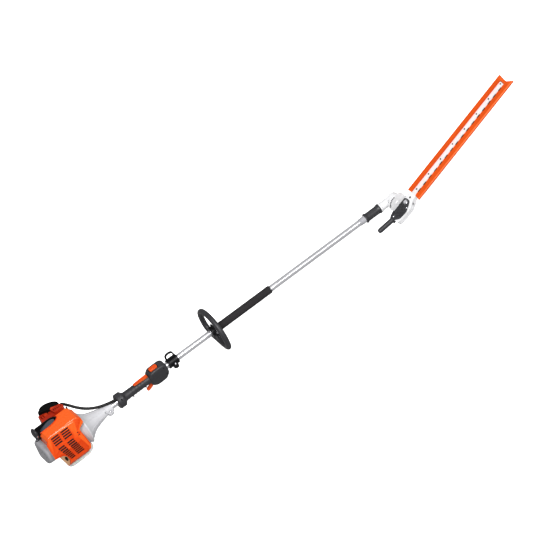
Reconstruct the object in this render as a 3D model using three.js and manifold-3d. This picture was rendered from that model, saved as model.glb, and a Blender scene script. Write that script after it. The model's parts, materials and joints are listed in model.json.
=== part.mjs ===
// Pole hedge trimmer: two-stroke engine, drive tube, tilting head and double-sided
// cutter blades in their scabbard. Millimetres, +Z up. Every piece is drawn in the
// tool's own frame: X runs along the drive tube from the engine to the blades, Y and Z
// are zero on the tube's axis, and -Y is the side of the exhaust. The finished group
// is turned nose-down by REST_TILT, so that tank and gear case stand on z = 0.
import * as THREE from 'three';
import { mergeVertices } from 'three/addons/utils/BufferGeometryUtils.js';
import Module from 'manifold-3d';

const wasm = await Module();
wasm.setup();

// ---------- driving dimensions ----------
const GAP = 0.3; // clearance left between pieces that touch
const WALL = 2.5; // moulded wall thickness

const TUBE_R = 12.7;
const TUBE_BORE_R = 11.2;
const TUBE_START = -733;
const TUBE_END = 690;
const BORE_R = TUBE_R + 0.5; // bore of every piece that sits on the tube

const SHROUD = { back: -1015, rear: -1005, front: -838, bottom: -42, top: 110, far: 46 };
const CYLINDER_X = -920;
const BORE = 17;
const PISTON_BASE = 32; // at bottom dead centre
const STROKE = 24;
const DECK = PISTON_BASE + 24 + STROKE + 2;

const TANK = { rear: -966, front: -831, half: 65, top: -45, bottom: -105 };
const FILTER = { rear: -967, front: -846, near: 47, split: 93, far: 118, bottom: 24, top: 118 };
const STARTER = { rear: -1030, front: SHROUD.rear - GAP };
const CHAMFER_SUM = -54.5; // y + z along the starter cover's cut lower corner

const HANDLE = { rear: -665, flangeEnd: -637, gripStart: -625, gripEnd: -508, front: -421 };
const GRIP_R = 20;
const CARRY = { rear: -411, front: -363, radius: 19.5 };
const LOOP = { x: -177, thickness: 18, halfWidth: 100, top: 95, bottom: -65 };
const FOAM = { rear: -149, front: 102, radius: 16.3 };
const SLEEVE = { rear: 578, front: 651, radius: 20, flare: 24 };

// Head: its frame starts on the pivot, X along the blades and Z square to them.
const PIVOT_X = 719;
const BEND = 21.4 * THREE.MathUtils.DEG2RAD;
const BLADE_Y = -54;
const BAR_TOP = -20;
const CASE = { rear: -63, front: 66, near: -92, far: -16, top: -17, split: -25, bottom: -40 };
const BAR = { start: 28, end: 628, width: 26, thickness: 2 };
const BLADE = { start: 34, end: 624, thickness: 2, spine: 13, half: 34, pitch: 34, teeth: 17 };
const SCABBARD = { start: 66, end: 640, tip: 658, width: 80, slot: 28, top: -18.5, bottom: -31 };

const HEAD_CONTACT = {
  x: PIVOT_X + CASE.rear * Math.cos(BEND) - CASE.bottom * Math.sin(BEND),
  z: CASE.rear * Math.sin(BEND) + CASE.bottom * Math.cos(BEND),
};
const TANK_MIDDLE = (TANK.rear + TANK.front) / 2;
const REST_TILT = Math.atan2(HEAD_CONTACT.z - TANK.bottom, HEAD_CONTACT.x - TANK_MIDDLE);
const floorAt = (x) => TANK.bottom + (x - TANK_MIDDLE) * Math.tan(REST_TILT);

// ---------- finishes ----------
const FINISHES = {
  orange: { color: 0xff5f0a, roughness: 0.4, metalness: 0 },
  darkOrange: { color: 0xc43c18, roughness: 0.5, metalness: 0 },
  black: { color: 0x1c1c1e, roughness: 0.55, metalness: 0 },
  greyPlastic: { color: 0xb9bac2, roughness: 0.5, metalness: 0 },
  tank: { color: 0xe8e4da, roughness: 0.35, metalness: 0 },
  glossBlue: { color: 0x4b5564, roughness: 0.2, metalness: 0 },
  castAluminium: { color: 0xb8b9bd, roughness: 0.55, metalness: 0.8 },
  aluminium: { color: 0xd4d5da, roughness: 0.25, metalness: 1 },
  steel: { color: 0xc8c8cc, roughness: 0.3, metalness: 1 },
  darkSteel: { color: 0x5c5c60, roughness: 0.5, metalness: 0.9 },
  rubber: { color: 0x252526, roughness: 0.8, metalness: 0 },
  foam: { color: 0x55504f, roughness: 0.9, metalness: 0 },
  ceramic: { color: 0xf2f0ea, roughness: 0.3, metalness: 0 },
  paper: { color: 0xd9c79a, roughness: 0.9, metalness: 0 },
};

// ---------- shape helpers ----------
const [UNIT_X, UNIT_Y, UNIT_Z] = [
  new THREE.Vector3(1, 0, 0), new THREE.Vector3(0, 1, 0), new THREE.Vector3(0, 0, 1),
];
// Where a flat outline's two directions and its depth lie, for each depth axis.
const FRAMES = {
  x: [UNIT_Y, UNIT_Z, UNIT_X],
  y: [UNIT_X, UNIT_Z, UNIT_Y],
  z: [UNIT_X, UNIT_Y, UNIT_Z],
};

/** Turns a closed three.js geometry into a manifold with its faces pointing out. */
function solid(geometry) {
  const bare = geometry.clone();
  bare.deleteAttribute('normal');
  bare.deleteAttribute('uv');
  const merged = mergeVertices(bare, 1e-4);
  const corner = (index) => new THREE.Vector3().fromBufferAttribute(merged.attributes.position, index);
  const faces = [];
  let volume = 0;
  for (let start = 0; start < merged.index.count; start += 3) {
    const [a, b, c] = [0, 1, 2].map((step) => merged.index.getX(start + step));
    if (a === b || b === c || c === a) continue;
    faces.push(a, b, c);
    volume += corner(a).dot(corner(b).cross(corner(c)));
  }
  if (volume < 0) faces.reverse();
  return new wasm.Manifold(new wasm.Mesh({
    numProp: 3,
    vertProperties: new Float32Array(merged.attributes.position.array),
    triVerts: new Uint32Array(faces),
  }));
}

/** Hangs one named mesh, made from a manifold, on a group. */
function addPart(group, name, finish, shape) {
  const result = shape.getMesh();
  const geometry = new THREE.BufferGeometry();
  geometry.setAttribute('position', new THREE.BufferAttribute(result.vertProperties, 3));
  geometry.setIndex(new THREE.BufferAttribute(result.triVerts, 1));
  geometry.computeVertexNormals();
  const mesh = new THREE.Mesh(geometry, new THREE.MeshStandardMaterial(FINISHES[finish]));
  mesh.name = name;
  group.add(mesh);
}

function block(x0, x1, y0, y1, z0, z1) {
  const geometry = new THREE.BoxGeometry(x1 - x0, y1 - y0, z1 - z0);
  return solid(geometry.translate((x0 + x1) / 2, (y0 + y1) / 2, (z0 + z1) / 2));
}

/** Extrudes an outline along an axis; a bevel rounds its rims within the same size. */
function prism(axis, outline, from, to, bevel = 0, holes = []) {
  const shape = new THREE.Shape(outline.map(([u, v]) => new THREE.Vector2(u, v)));
  shape.holes = holes.map((hole) => new THREE.Path(hole.map(([u, v]) => new THREE.Vector2(u, v))));
  const geometry = new THREE.ExtrudeGeometry(shape, {
    depth: to - from - 2 * bevel,
    bevelEnabled: bevel > 0,
    bevelThickness: bevel,
    bevelSize: bevel,
    bevelOffset: -bevel,
    bevelSegments: 1,
  });
  geometry.translate(0, 0, from + bevel);
  return solid(geometry.applyMatrix4(new THREE.Matrix4().makeBasis(...FRAMES[axis])));
}

function circle(radius, [u, v] = [0, 0], sides = 16) {
  return Array.from({ length: sides }, (_, step) => {
    const angle = (2 * Math.PI * step) / sides;
    return [u + radius * Math.cos(angle), v + radius * Math.sin(angle)];
  });
}

const rod = (axis, radius, from, to, centre, sides) => prism(axis, circle(radius, centre, sides), from, to);

/** Turns a profile of [distance along the axis, radius] pairs round the axis. */
function turned(axis, profile, [u, v] = [0, 0], sides = 20) {
  const points = profile.map(([along, radius]) => new THREE.Vector2(radius, along));
  const [uDirection, vDirection, along] = FRAMES[axis];
  const basis = new THREE.Matrix4().makeBasis(uDirection, along, vDirection);
  const geometry = new THREE.LatheGeometry(points, sides).applyMatrix4(basis);
  const shift = uDirection.clone().multiplyScalar(u).addScaledVector(vDirection, v);
  return solid(geometry.translate(shift.x, shift.y, shift.z));
}

/** Rounds the corners of an outline with quadratic curves. */
function rounded(points, radius, steps = 2) {
  const shape = new THREE.Path();
  const corners = points.map(([u, v]) => new THREE.Vector2(u, v));
  corners.forEach((corner, index) => {
    const before = corners.at(index - 1);
    const after = corners[(index + 1) % corners.length];
    const entry = corner.clone().lerp(before, Math.min(0.5, radius / corner.distanceTo(before)));
    const exit = corner.clone().lerp(after, Math.min(0.5, radius / corner.distanceTo(after)));
    if (index === 0) shape.moveTo(entry.x, entry.y);
    else shape.lineTo(entry.x, entry.y);
    shape.quadraticCurveTo(corner.x, corner.y, exit.x, exit.y);
  });
  const curve = shape.getPoints(steps);
  return curve.filter((point, index) => point.distanceTo(curve.at(index - 1)) > 0.01)
    .map((point) => [point.x, point.y]);
}

const rectangle = (u0, u1, v0, v1) => [[u0, v0], [u1, v0], [u1, v1], [u0, v1]];
const joined = (...shapes) => shapes.reduce((sum, shape) => sum.add(shape));
const cut = (shape, ...tools) => tools.reduce((rest, tool) => rest.subtract(tool), shape);

// ---------- engine ----------
function crankcase() {
  const shell = prism('x', rounded([[-38, -38], [38, -38], [38, 34], [-38, 34]], 20), -948, -892);
  const chamber = rod('x', 30, -940, -900);
  const shaftBores = rod('x', 8, -950, -890);
  const throat = rod('z', BORE + GAP, 0, 40, [CYLINDER_X, 0]);
  return cut(shell, chamber, shaftBores, throat);
}

function cylinder() {
  const barrel = rod('z', BORE + 4, 34 + GAP, DECK + 6, [CYLINDER_X, 0]);
  const fin = rounded(rectangle(-952, -888, -30, 30), 12);
  const fins = [44, 52, 60, 68, 76, 84].map((z) => prism('z', fin, z, z + 2.2));
  const exhaustPort = block(-930, -910, -30, 0, 46, 62);
  const intakePort = block(-930, -910, 0, 40, 46, 66);
  const plugBoss = rod('x', 10, -954, CYLINDER_X, [0, DECK - 2]);
  const body = joined(barrel, ...fins, exhaustPort, intakePort, plugBoss);
  const bore = rod('z', BORE + GAP, 30, DECK, [CYLINDER_X, 0]);
  const ports = joined(rod('y', 6, -31, 0, [CYLINDER_X, 54]), rod('y', 6, 0, 41, [CYLINDER_X, 56]));
  return cut(body, bore, ports, rod('x', 5, -955, -930, [0, DECK - 2]));
}

function piston() {
  const crown = rod('z', BORE - GAP, PISTON_BASE, PISTON_BASE + 24, [CYLINDER_X, 0]);
  const hollow = rod('z', BORE - 3, PISTON_BASE - 1, PISTON_BASE + 19, [CYLINDER_X, 0]);
  const pin = rod('x', 3.7, CYLINDER_X - 15, CYLINDER_X + 15, [0, PISTON_BASE + 10]);
  return joined(cut(crown, hollow), pin);
}

/** The rod hangs beside the crank web; its big end stays open to the crank pin. */
function connectingRod() {
  const [bigEnd, smallEnd] = [-13, PISTON_BASE + 10];
  const [from, to] = [CYLINDER_X - 4, CYLINDER_X + 3];
  const shank = block(from, to, -3.5, 3.5, bigEnd, smallEnd);
  const eyes = joined(rod('x', 8, from, to, [0, bigEnd]), rod('x', 7, from, to, [0, smallEnd]), shank);
  const holes = joined(
    rod('x', 4.5, from - 1, to + 1, [0, bigEnd]),
    rod('x', 3.7 + GAP, from - 1, to + 1, [0, smallEnd]),
  );
  return cut(eyes, holes);
}

function crankshaft() {
  const web = rod('x', 26, -912, -904, [0, 0], 24);
  const lightening = block(-913, -903, 10, 30, -30, -2).add(block(-913, -903, -30, -10, -30, -2));
  const pin = rod('x', 4, -916.5, -911, [0, -13]);
  return joined(cut(web, lightening), pin, rod('x', 6, -905, -851));
}

const flywheel = () => {
  const disc = turned('x', [
    [-888, 6.5], [-888, 42], [-882, 42], [-880, 20], [-873, 18], [-873, 6.5], [-888, 6.5],
  ]);
  const vane = block(-882.5, -873, 17, 41, -1, 1);
  const vanes = Array.from({ length: 10 }, (_, step) => vane.rotate([36 * step, 0, 0]));
  return joined(disc, ...vanes);
};

const clutchRotor = () => {
  const rotor = rod('x', 26, -868, -853, [0, 0], 24);
  const slots = [0, 180].map((turn) => block(-870, -852, 9, 30, -1.5, 1.5).rotate([turn, 0, 0]));
  return cut(rotor, rod('x', 6.3, -870, -852), ...slots);
};

const clutchDrum = () => turned('x', [
  [-869, 28], [-869, 31], [-845, 31], [-845, 6], [-790, 6], [-790, 0], [-848, 0], [-848, 28], [-869, 28],
]);

function starterCup() {
  const profile = [
    [-1001, 0], [-1001, 28], [-989, 28], [-989, 7.5], [-930, 7.5], [-930, 0],
  ];
  const pawlRoom = turned('x', [[-1002, 10], [-1002, 25], [-992, 25], [-992, 10], [-1002, 10]]);
  return cut(turned('x', profile), pawlRoom);
}

/** Shroud outline across the engine, as [y, z]; the near wall leans in towards the top. */
const SHROUD_SECTION = [
  [-90, SHROUD.bottom], [-98, -22], [-84, 34], [-42, SHROUD.top], [36, SHROUD.top], [SHROUD.far, 98],
  [SHROUD.far, SHROUD.bottom],
];
/** Shroud outline from the side, as [x, z], with its notch in front. */
const SHROUD_SIDE = [
  [SHROUD.back, SHROUD.bottom], [SHROUD.back, 86], [-990, SHROUD.top], [-852, SHROUD.top], [SHROUD.front, 96],
  [SHROUD.front, 72], [-862, 57], [-862, -10], [-872, SHROUD.bottom],
];
/** Lower corner behind the exhaust, cut off level with the starter cover's chamfer. */
function exhaustCorner(inset) {
  const low = SHROUD.bottom - 18;
  const shift = CHAMFER_SUM + inset * Math.SQRT2;
  const side = [
    [SHROUD.back - 2, low], [-980 + inset, low], [-982 + inset, -24], [-993 + inset, 27 + inset],
    [SHROUD.back - 2, 33 + inset],
  ];
  const across = [[-112, 36 + inset], [shift - 36 - inset, 36 + inset], [shift - low, low], [-112, low]];
  return prism('y', side, -112, 20).intersect(prism('x', across, SHROUD.back - 2, -970));
}
/** Slanted cut across the shroud's upper far front corner. */
const frontCorner = (inset) => wasm.Manifold.hull([
  [-824, -14 - inset, 116], [-876 - inset, 58, 116], [-824, 58, 12 - inset], [-800, 80, 140],
]);

function engineShroud() {
  const { back, rear, front, bottom, top, far } = SHROUD;
  const outer = prism('x', rounded(SHROUD_SECTION, 12), back, front, 4)
    .intersect(prism('y', rounded(SHROUD_SIDE, 6), -110, far + 10));
  const innerSection = [
    [-86, bottom - 10], [-94, -22], [-80, 33], [-39, top - WALL], [34, top - WALL], [far - WALL, 96],
    [far - WALL, bottom - 10],
  ];
  const innerSide = [
    [rear + WALL, bottom - 10], [rear + WALL, 85], [-987, top - WALL], [-854, top - WALL], [front - WALL, 94],
    [front - WALL, 74], [-866, 59], [-866, bottom - 10],
  ];
  const hollow = prism('x', rounded(innerSection, 10), back, front)
    .intersect(prism('y', rounded(innerSide, 5), -109, far + 9));
  const openings = [
    rod('x', 36, rear - 2, rear + 10, [0, 0], 24),
    prism('x', innerSection, back - 2, rear),
    block(back - 2, rear, -46, far + 1, bottom - 12, top + 2),
    block(back - 2, -993, 7, far + 1, 60, top + 2),
    rod('x', 45.5, -880, front + 2, [0, 0], 24),
    block(-948, -892, far - 6, far + 2, 38, 74),
    block(back - 2, -910, 7, far + 1, 95, top + 2),
    block(-978, -966, -110, -70, -8, 20),
  ];
  const shell = cut(outer, cut(hollow, exhaustCorner(WALL), frontCorner(WALL)));
  return cut(shell, exhaustCorner(0), frontCorner(0), ...openings, ...ventSlots());
}

/** Long cooling slots in the near wall: four groups, two high and two low. */
function ventSlots() {
  const high = { height: 4.6, pitch: 8.4, low: 68, count: 4 };
  const low = { height: 3.8, pitch: 7.6, low: -8, count: 8 };
  const row = ({ height, pitch, low: first }, step, from, to) => (
    block(from, to, -112, -40, first + pitch * step, first + pitch * step + height)
  );
  const steps = (group) => Array.from({ length: group.count }, (_, step) => step);
  return [
    ...steps(high).flatMap((step) => [row(high, step, -987, -951), row(high, step, -940, -902)]),
    ...steps(low).flatMap((step) => [
      row(low, step, -957 - 3.6 * step, -941 - 1.2 * step),
      row(low, step, -928 - 1.3 * step, -898 - step),
    ]),
  ];
}

function muffler() {
  const section = [[-84, -34], [-87, -18], [-77, 28], [-58, 60], [-42.5, 60], [-42.5, -34]];
  const box = prism('x', rounded(section, 5, 2), -976, -890);
  const neck = rod('y', 9, -44, -30 - GAP, [CYLINDER_X, 54]);
  const spout = block(-977, -962, -82, -70, -10, 19);
  const body = joined(box, neck, spout);
  const inside = block(-972, -894, -72, -46, -28, 20);
  const passages = joined(rod('y', 6, -60, -29, [CYLINDER_X, 54]), block(-924, -916, -60, -48, 10, 56));
  return cut(body, inside, passages, block(-976, -966, -95, -71, -7, 17), block(-972, -960, -74, -60, -7, 7));
}

function fuelTank() {
  const { rear, front, half, top } = TANK;
  const side = [[rear, floorAt(rear)], [front, floorAt(front)], [front, top], [rear, top]];
  const shell = prism('y', rounded(side, 14), -half, half, 6);
  const hollow = block(rear + 8, front - 8, -half + 7, half - 7, TANK.bottom + 8, top - 6);
  const filler = rod('y', 16, half - 8, half + 4, [-870, -74]);
  return cut(shell.add(rod('y', 19, half - 4, half + 4, [-870, -74])), hollow, filler);
}

const fuelCap = () => turned('y', [
  [TANK.half - 2, 0], [TANK.half - 2, 14], [TANK.half + 4 + GAP, 14], [TANK.half + 4 + GAP, 22],
  [TANK.half + 16, 20], [TANK.half + 18, 17], [TANK.half + 18, 0],
], [-870, -74]);

/** Cover over the rope pulley, with its lower near corner cut off. */
function starterHousing() {
  const { rear, front } = STARTER;
  const [near, low] = [-60, SHROUD.bottom];
  const outline = [
    [near, CHAMFER_SUM - near], [near, 40], [-40, 60], [40, 60], [58, 44], [58, -28], [44, low],
    [CHAMFER_SUM - low, low],
  ];
  const dish = prism('x', rounded(outline, 8), rear, front, 5);
  const cavity = turned('x', [[rear + 4, 5], [rear + 4, 35], [front + 1, 35], [front + 1, 5], [rear + 4, 5]]);
  const slot = block(rear - 1, rear + 7, 20, 46, -1.6, 1.6);
  const slots = [-60, -30, 0, 120, 150, 180].map((turn) => slot.rotate([turn, 0, 0]));
  const postEnd = block(rear + 20, front + 1, -6, 6, -6, 6);
  const ropeGuide = block(rear + 8, rear + 22, 24, 44, 40, 62);
  const ropeHole = rod('z', 3.2, 20, 70, [rear + 15, 33]);
  return cut(dish.add(ropeGuide), cavity, postEnd, ropeHole, ...slots);
}

const starterPulley = () => {
  const base = STARTER.rear + 6;
  return turned('x', [
    [base, 5.3], [base, 33], [base + 3, 33], [base + 5, 29], [base + 11, 29], [base + 13, 33],
    [base + 16, 33], [base + 16, 24], [base + 19, 22], [base + 19, 8], [base + 14, 8], [base + 14, 5.3],
    [base, 5.3],
  ]);
};

/** T-grip above the rope guide, with the short end of rope that is always out. */
function starterGrip() {
  const x = STARTER.rear + 15;
  const outline = rounded(rectangle(x - 11, x + 11, 64, 88), 8);
  const handle = prism('y', outline, 16, 64, 6);
  return joined(handle, rod('z', 2.2, 44, 66, [x, 33], 10));
}

function airFilterBase() {
  const { rear, front, near, split, bottom, top } = FILTER;
  const outer = prism('y', rounded(rectangle(rear, front, bottom, top), 14), near, split - GAP, 3);
  const step = block(rear + 22, front - 22, near - 1, near + 12, top - 7, top + 1);
  const room = rectangle(rear + 3, front - 3, bottom + 3, top - 10);
  const inside = prism('y', rounded(room, 8), near + 3, split + 1);
  const intake = block(-948, -892, near - 1, near + 4, 38, 74);
  const slots = Array.from({ length: 6 }, (_, index) => (
    block(rear + 30 + 11 * index, rear + 35 + 11 * index, split - 22, split - 8, top - 12, top + 1)
  ));
  const primerHole = rod('z', 11, bottom - 1, bottom + 4, [-870, 70]);
  return cut(outer, step, inside, intake, primerHole, rod('x', 6, front - 5, front + 1, [80, 92]), ...slots);
}

function airFilterCover() {
  const { rear, front, split, far, bottom, top } = FILTER;
  const outer = prism('y', rounded(rectangle(rear, front, bottom, top), 14), split, far, 5);
  const room = rectangle(rear + 4, front - 4, bottom + 4, top - 4);
  const inside = prism('y', rounded(room, 10), split - 1, far - 4);
  return cut(outer, inside);
}

const airFilterElement = () => {
  const { rear, front, split, far, bottom, top } = FILTER;
  return block(rear + 8, front - 8, split + 1, far - 8, bottom + 8, top - 14);
};

function carburetor() {
  const body = block(-940, -900, 56, 86, 42, 72);
  const flange = block(-934, -906, 40 + GAP, 57, 48, 66);
  return cut(joined(body, flange), rod('y', 6, 39, 88, [CYLINDER_X, 56]));
}

const chokeLever = () => joined(
  rod('x', 4, FILTER.front + GAP, FILTER.front + 9, [74, 50]),
  block(FILTER.front + 4, FILTER.front + 9, 70, 78, 48, 72),
);

const primerBulb = () => turned('z', [
  [FILTER.bottom - 12, 0], [FILTER.bottom - 11, 6], [FILTER.bottom - 6, 9.5], [FILTER.bottom - GAP, 10],
  [FILTER.bottom - GAP, 0],
], [-870, 70], 20);

const ignitionModule = () => block(-887, -866, -16, 16, 47.5, 70);

const sparkPlug = () => turned('x', [
  [-985, 0], [-985, 3], [-972, 5], [-966, 5], [-966, 8.5], [-956, 8.5], [-954.5, 6], [-954.5, 4.6],
  [-939, 4.6], [-939, 0],
], [0, DECK - 2], 16);

const plugBoot = () => cut(
  turned('x', [[-991, 0], [-991, 8], [-970, 11], [-970, 0]], [0, DECK - 2]),
  rod('x', 5.6, -988, -969, [0, DECK - 2]),
);

/** Glossy cap over the spark plug, set into the shroud's top. */
function plugCover() {
  const far = FILTER.near - GAP;
  const crown = SHROUD.top + 1;
  const section = [[8, 97], [8, 108], [14, crown], [40, crown], [far, 104], [far, 97]];
  return cut(prism('x', rounded(section, 4), -995, -912, 2), block(-988, -919, 14, 40, 94, 106));
}

/** Bell over the clutch that narrows to the clamp round the drive tube. */
function clutchHousing() {
  const front = SHROUD.front + GAP;
  const bell = turned('x', [
    [-862, 40], [-862, 44], [front, 44], [front, 71], [-830, 71], [-815, 56], [-800, 42], [-780, 33],
    [-755, 25.5], [-728, 21], [-693, 20], [-693, BORE_R], [-735, BORE_R], [-735, 8], [-796, 8], [-796, 14.3],
    [-806, 14.3], [-806, 36], [-834, 40], [-862, 40],
  ], [0, 0], 24).intersect(block(-870, -690, -80, 80, TANK.top + GAP, 80));
  const boss = block(-722, -700, -30, -14, -14, 0);
  const bossHole = rod('z', 2.6, -16, 2, [-711, -24], 12);
  const split = block(-730, -692, -32, -12, -8, -6);
  return cut(bell.add(boss), rod('x', BORE_R, -735, -692), bossHole, split);
}

const drumBearing = () => turned('x', [
  [-805.5, 6.3], [-805.5, 14], [-797, 14], [-797, 6.3], [-805.5, 6.3],
]);

const CABLE_ROUTE = [
  [-862, 80, 92], [-846, 80.5, 92], [-830, 79, 82], [-806, 58, 60], [-782, 41, 46], [-755, 24, 35],
  [-727, 10, 29], [-700, 0, 26], [-682, -3, 23], [-668, -4, 21.5], [-652, -4, 20.5],
];

function throttleCable() {
  const route = new THREE.CatmullRomCurve3(CABLE_ROUTE.map((point) => new THREE.Vector3(...point)));
  const section = new THREE.Shape(circle(3.6, [0, 0], 8).map(([u, v]) => new THREE.Vector2(u, v)));
  return solid(new THREE.ExtrudeGeometry(section, { steps: 20, bevelEnabled: false, extrudePath: route }));
}

// ---------- drive line ----------
const driveTube = () => turned('x', [
  [TUBE_START, TUBE_BORE_R], [TUBE_START, TUBE_R], [TUBE_END, TUBE_R], [TUBE_END, TUBE_BORE_R],
  [TUBE_START, TUBE_BORE_R],
]);

const tubeBush = (x) => turned('x', [
  [x - 20, 4.3], [x - 20, TUBE_BORE_R - GAP], [x + 20, TUBE_BORE_R - GAP], [x + 20, 4.3], [x - 20, 4.3],
]);

const driveShaft = () => turned('x', [
  [-789.5, 0], [-789.5, 4], [693, 4], [693, 7], [703, 3], [703, 0],
], [0, 0], 16);

// ---------- control handle ----------
function handleBody() {
  const { rear, flangeEnd, gripStart, gripEnd, front } = HANDLE;
  const barrel = turned('x', [
    [rear, 0], [rear, 28], [rear + 4, 32], [flangeEnd - 5, 32], [flangeEnd, 27], [gripStart, 19.5],
    [gripStart + 30, GRIP_R + 0.5], [gripEnd - 30, GRIP_R], [gripEnd + 8, GRIP_R], [gripEnd + 8, 0],
  ]);
  const side = [
    [gripEnd, 18], [gripEnd + 16, 41], [front - 8, 41], [front, 33], [front, -22], [front - 18, -43],
    [gripEnd + 24, -44], [gripEnd + 4, -30], [gripEnd, -18],
  ];
  const head = prism('y', rounded(side, 7, 2), -25, 25, 7);
  const triggerPocket = block(-514, -484, -8.5, 8.5, -50, -16.5);
  const lockSlot = block(-577, -505, -9, 9, 14.3, 45);
  const buttonWell = block(-486, -446, -13, 13, 30, 50);
  const cableEntry = block(rear - 1, rear + 24, -9, 1, 12, 26);
  const bore = rod('x', BORE_R, rear - 1, front + 1);
  return cut(joined(barrel, head), bore, triggerPocket, lockSlot, buttonWell, cableEntry);
}

const handleHalf = (side) => {
  const [from, to] = side < 0 ? [-60, -GAP / 2] : [GAP / 2, 60];
  return handleBody().intersect(block(-700, -400, from, to, -60, 60));
};

const throttleTrigger = () => prism('y', rounded([
  [-491, -19], [-502, -18], [-508, -30], [-520, -38], [-529, -42], [-531, -48], [-522, -48], [-506, -40],
  [-493, -31],
], 4, 2), -7.5, 7.5, 2);

const throttleLock = () => prism('y', rounded([
  [-574, 20.5], [-508, 17], [-508, 25], [-545, 26], [-574, 25],
], 2, 2), -8.5, 8.5, 1);

const stopButton = () => prism('z', rounded(rectangle(-485.5, -446.5, -12.5, 12.5), 6), 33, 44.5, 1.5);

// ---------- harness ring, loop handle, sleeves ----------
function carryRing() {
  const { rear, front, radius } = CARRY;
  const ring = rod('x', radius, rear, front, [0, 0], 24);
  const eyeletSide = [[rear + 1, 16], [front - 4, 16], [-384, 57.5], [-393, 57.5]];
  const eyelet = prism('y', rounded(eyeletSide, 6), -3.5, 3.5, 1.5);
  const eye = prism('y', rounded([[-402, 31], [-375, 31], [-388.5, 52]], 3), -5, 5);
  const lug = block(-398, -376, -35, -12, -13, 4);
  const split = block(rear - 1, front + 1, -36, -8, -6.5, -4);
  const hole = rod('z', 2.8, -14, 5, [-387, -27], 12);
  return cut(joined(ring, eyelet, lug), eye, rod('x', BORE_R, rear - 1, front + 1), split, hole);
}

const carryRingScrew = () => joined(
  rod('z', 2.5, -12.5, 5, [-387, -27], 12),
  rod('z', 4.6, 4 + GAP, 8, [-387, -27], 12),
);

/** D-shaped outline: a half-ellipse above and a flatter, squarer curve below. */
function loopOutline(inset) {
  const middle = 5;
  return Array.from({ length: 32 }, (_, step) => {
    const angle = (2 * Math.PI * step) / 32;
    const [across, along] = [Math.cos(angle), Math.sin(angle)];
    const power = along < 0 ? 0.62 : 1;
    const height = along < 0 ? middle - LOOP.bottom : LOOP.top - middle;
    return [
      (LOOP.halfWidth - inset) * Math.sign(across) * Math.abs(across) ** power,
      middle + (height - inset) * Math.sign(along) * Math.abs(along) ** power,
    ];
  });
}

function loopHandle() {
  const [from, to] = [LOOP.x - LOOP.thickness / 2, LOOP.x + LOOP.thickness / 2];
  const ring = prism('x', loopOutline(0), from, to, 6, [loopOutline(LOOP.thickness)]);
  const webFoot = LOOP.bottom + 10;
  const web = prism('x', [[-30, webFoot], [30, webFoot], [22, -8], [-22, -8]], from + 2, to - 2);
  const saddle = rod('x', 22, LOOP.x - 18, LOOP.x + 18, [0, 0], 24);
  const ear = block(LOOP.x - 12, LOOP.x + 12, -36, 0, -9, 0);
  const below = block(LOOP.x - 30, LOOP.x + 30, -40, 40, -40, -GAP);
  const clampHalf = saddle.add(ear).intersect(below);
  const hole = rod('z', 3, -12, 2, [LOOP.x, -29], 12);
  return cut(joined(ring, web, clampHalf), rod('x', BORE_R, LOOP.x - 30, LOOP.x + 30), hole);
}

function loopClamp() {
  const saddle = rod('x', 22, LOOP.x - 18, LOOP.x + 18, [0, 0], 24);
  const ear = block(LOOP.x - 12, LOOP.x + 12, -36, 0, 0, 8);
  const above = block(LOOP.x - 30, LOOP.x + 30, -40, 40, GAP, 40);
  const hole = rod('z', 3, -1, 10, [LOOP.x, -29], 12);
  return cut(saddle.add(ear).intersect(above), rod('x', BORE_R, LOOP.x - 30, LOOP.x + 30), hole);
}

const loopBolt = () => joined(
  rod('z', 2.7, -14, 9, [LOOP.x, -29], 12),
  rod('z', 5.5, 8 + GAP, 13, [LOOP.x, -29], 6),
);

const foamSleeve = () => turned('x', [
  [FOAM.rear, BORE_R], [FOAM.rear, FOAM.radius - 1], [FOAM.rear + 1, FOAM.radius],
  [FOAM.front - 1, FOAM.radius], [FOAM.front, FOAM.radius - 1], [FOAM.front, BORE_R], [FOAM.rear, BORE_R],
]);

const tubeAdapter = () => turned('x', [
  [552, BORE_R], [552, 14.2], [640, 14.2], [640, BORE_R], [552, BORE_R],
]);

const lockSleeve = () => {
  const { rear, front, radius, flare } = SLEEVE;
  return turned('x', [
    [rear, 14.6], [rear, flare - 1], [rear + 6, flare], [rear + 13, radius], [front - 13, radius],
    [front - 7, flare], [front, flare - 1], [front, 14.6], [rear, 14.6],
  ]);
};

function jointHousing() {
  const start = SLEEVE.front + GAP;
  const neckEnd = TUBE_END - 1;
  const neck = turned('x', [
    [start, 0], [start, 20], [start + 5, 20], [start + 8, 17], [neckEnd, 17], [neckEnd, 0],
  ]);
  const ear = rod('y', 24, -7.7, 20, [PIVOT_X, 0], 24);
  const bridge = block(TUBE_END - 6, PIVOT_X, -7.7, 17, -17, 17);
  const gearChamber = rod('x', 10, TUBE_END - 2, PIVOT_X - 6, [0, 0], 20);
  const crossBore = rod('y', 15, -9, 14, [PIVOT_X, 0]);
  return cut(joined(neck, ear, bridge), rod('x', BORE_R, start - 1, TUBE_END + GAP), gearChamber, crossBore);
}

/** Cross shaft on the pivot line: bevel gear beside the pinion, spur gear in the head. */
const crossShaft = () => turned('y', [
  [-25.5, 0], [-25.5, 21], [-20.5, 21], [-20.5, 5], [6, 5], [6, 12], [11, 14], [11, 0],
], [PIVOT_X, 0]);

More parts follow.
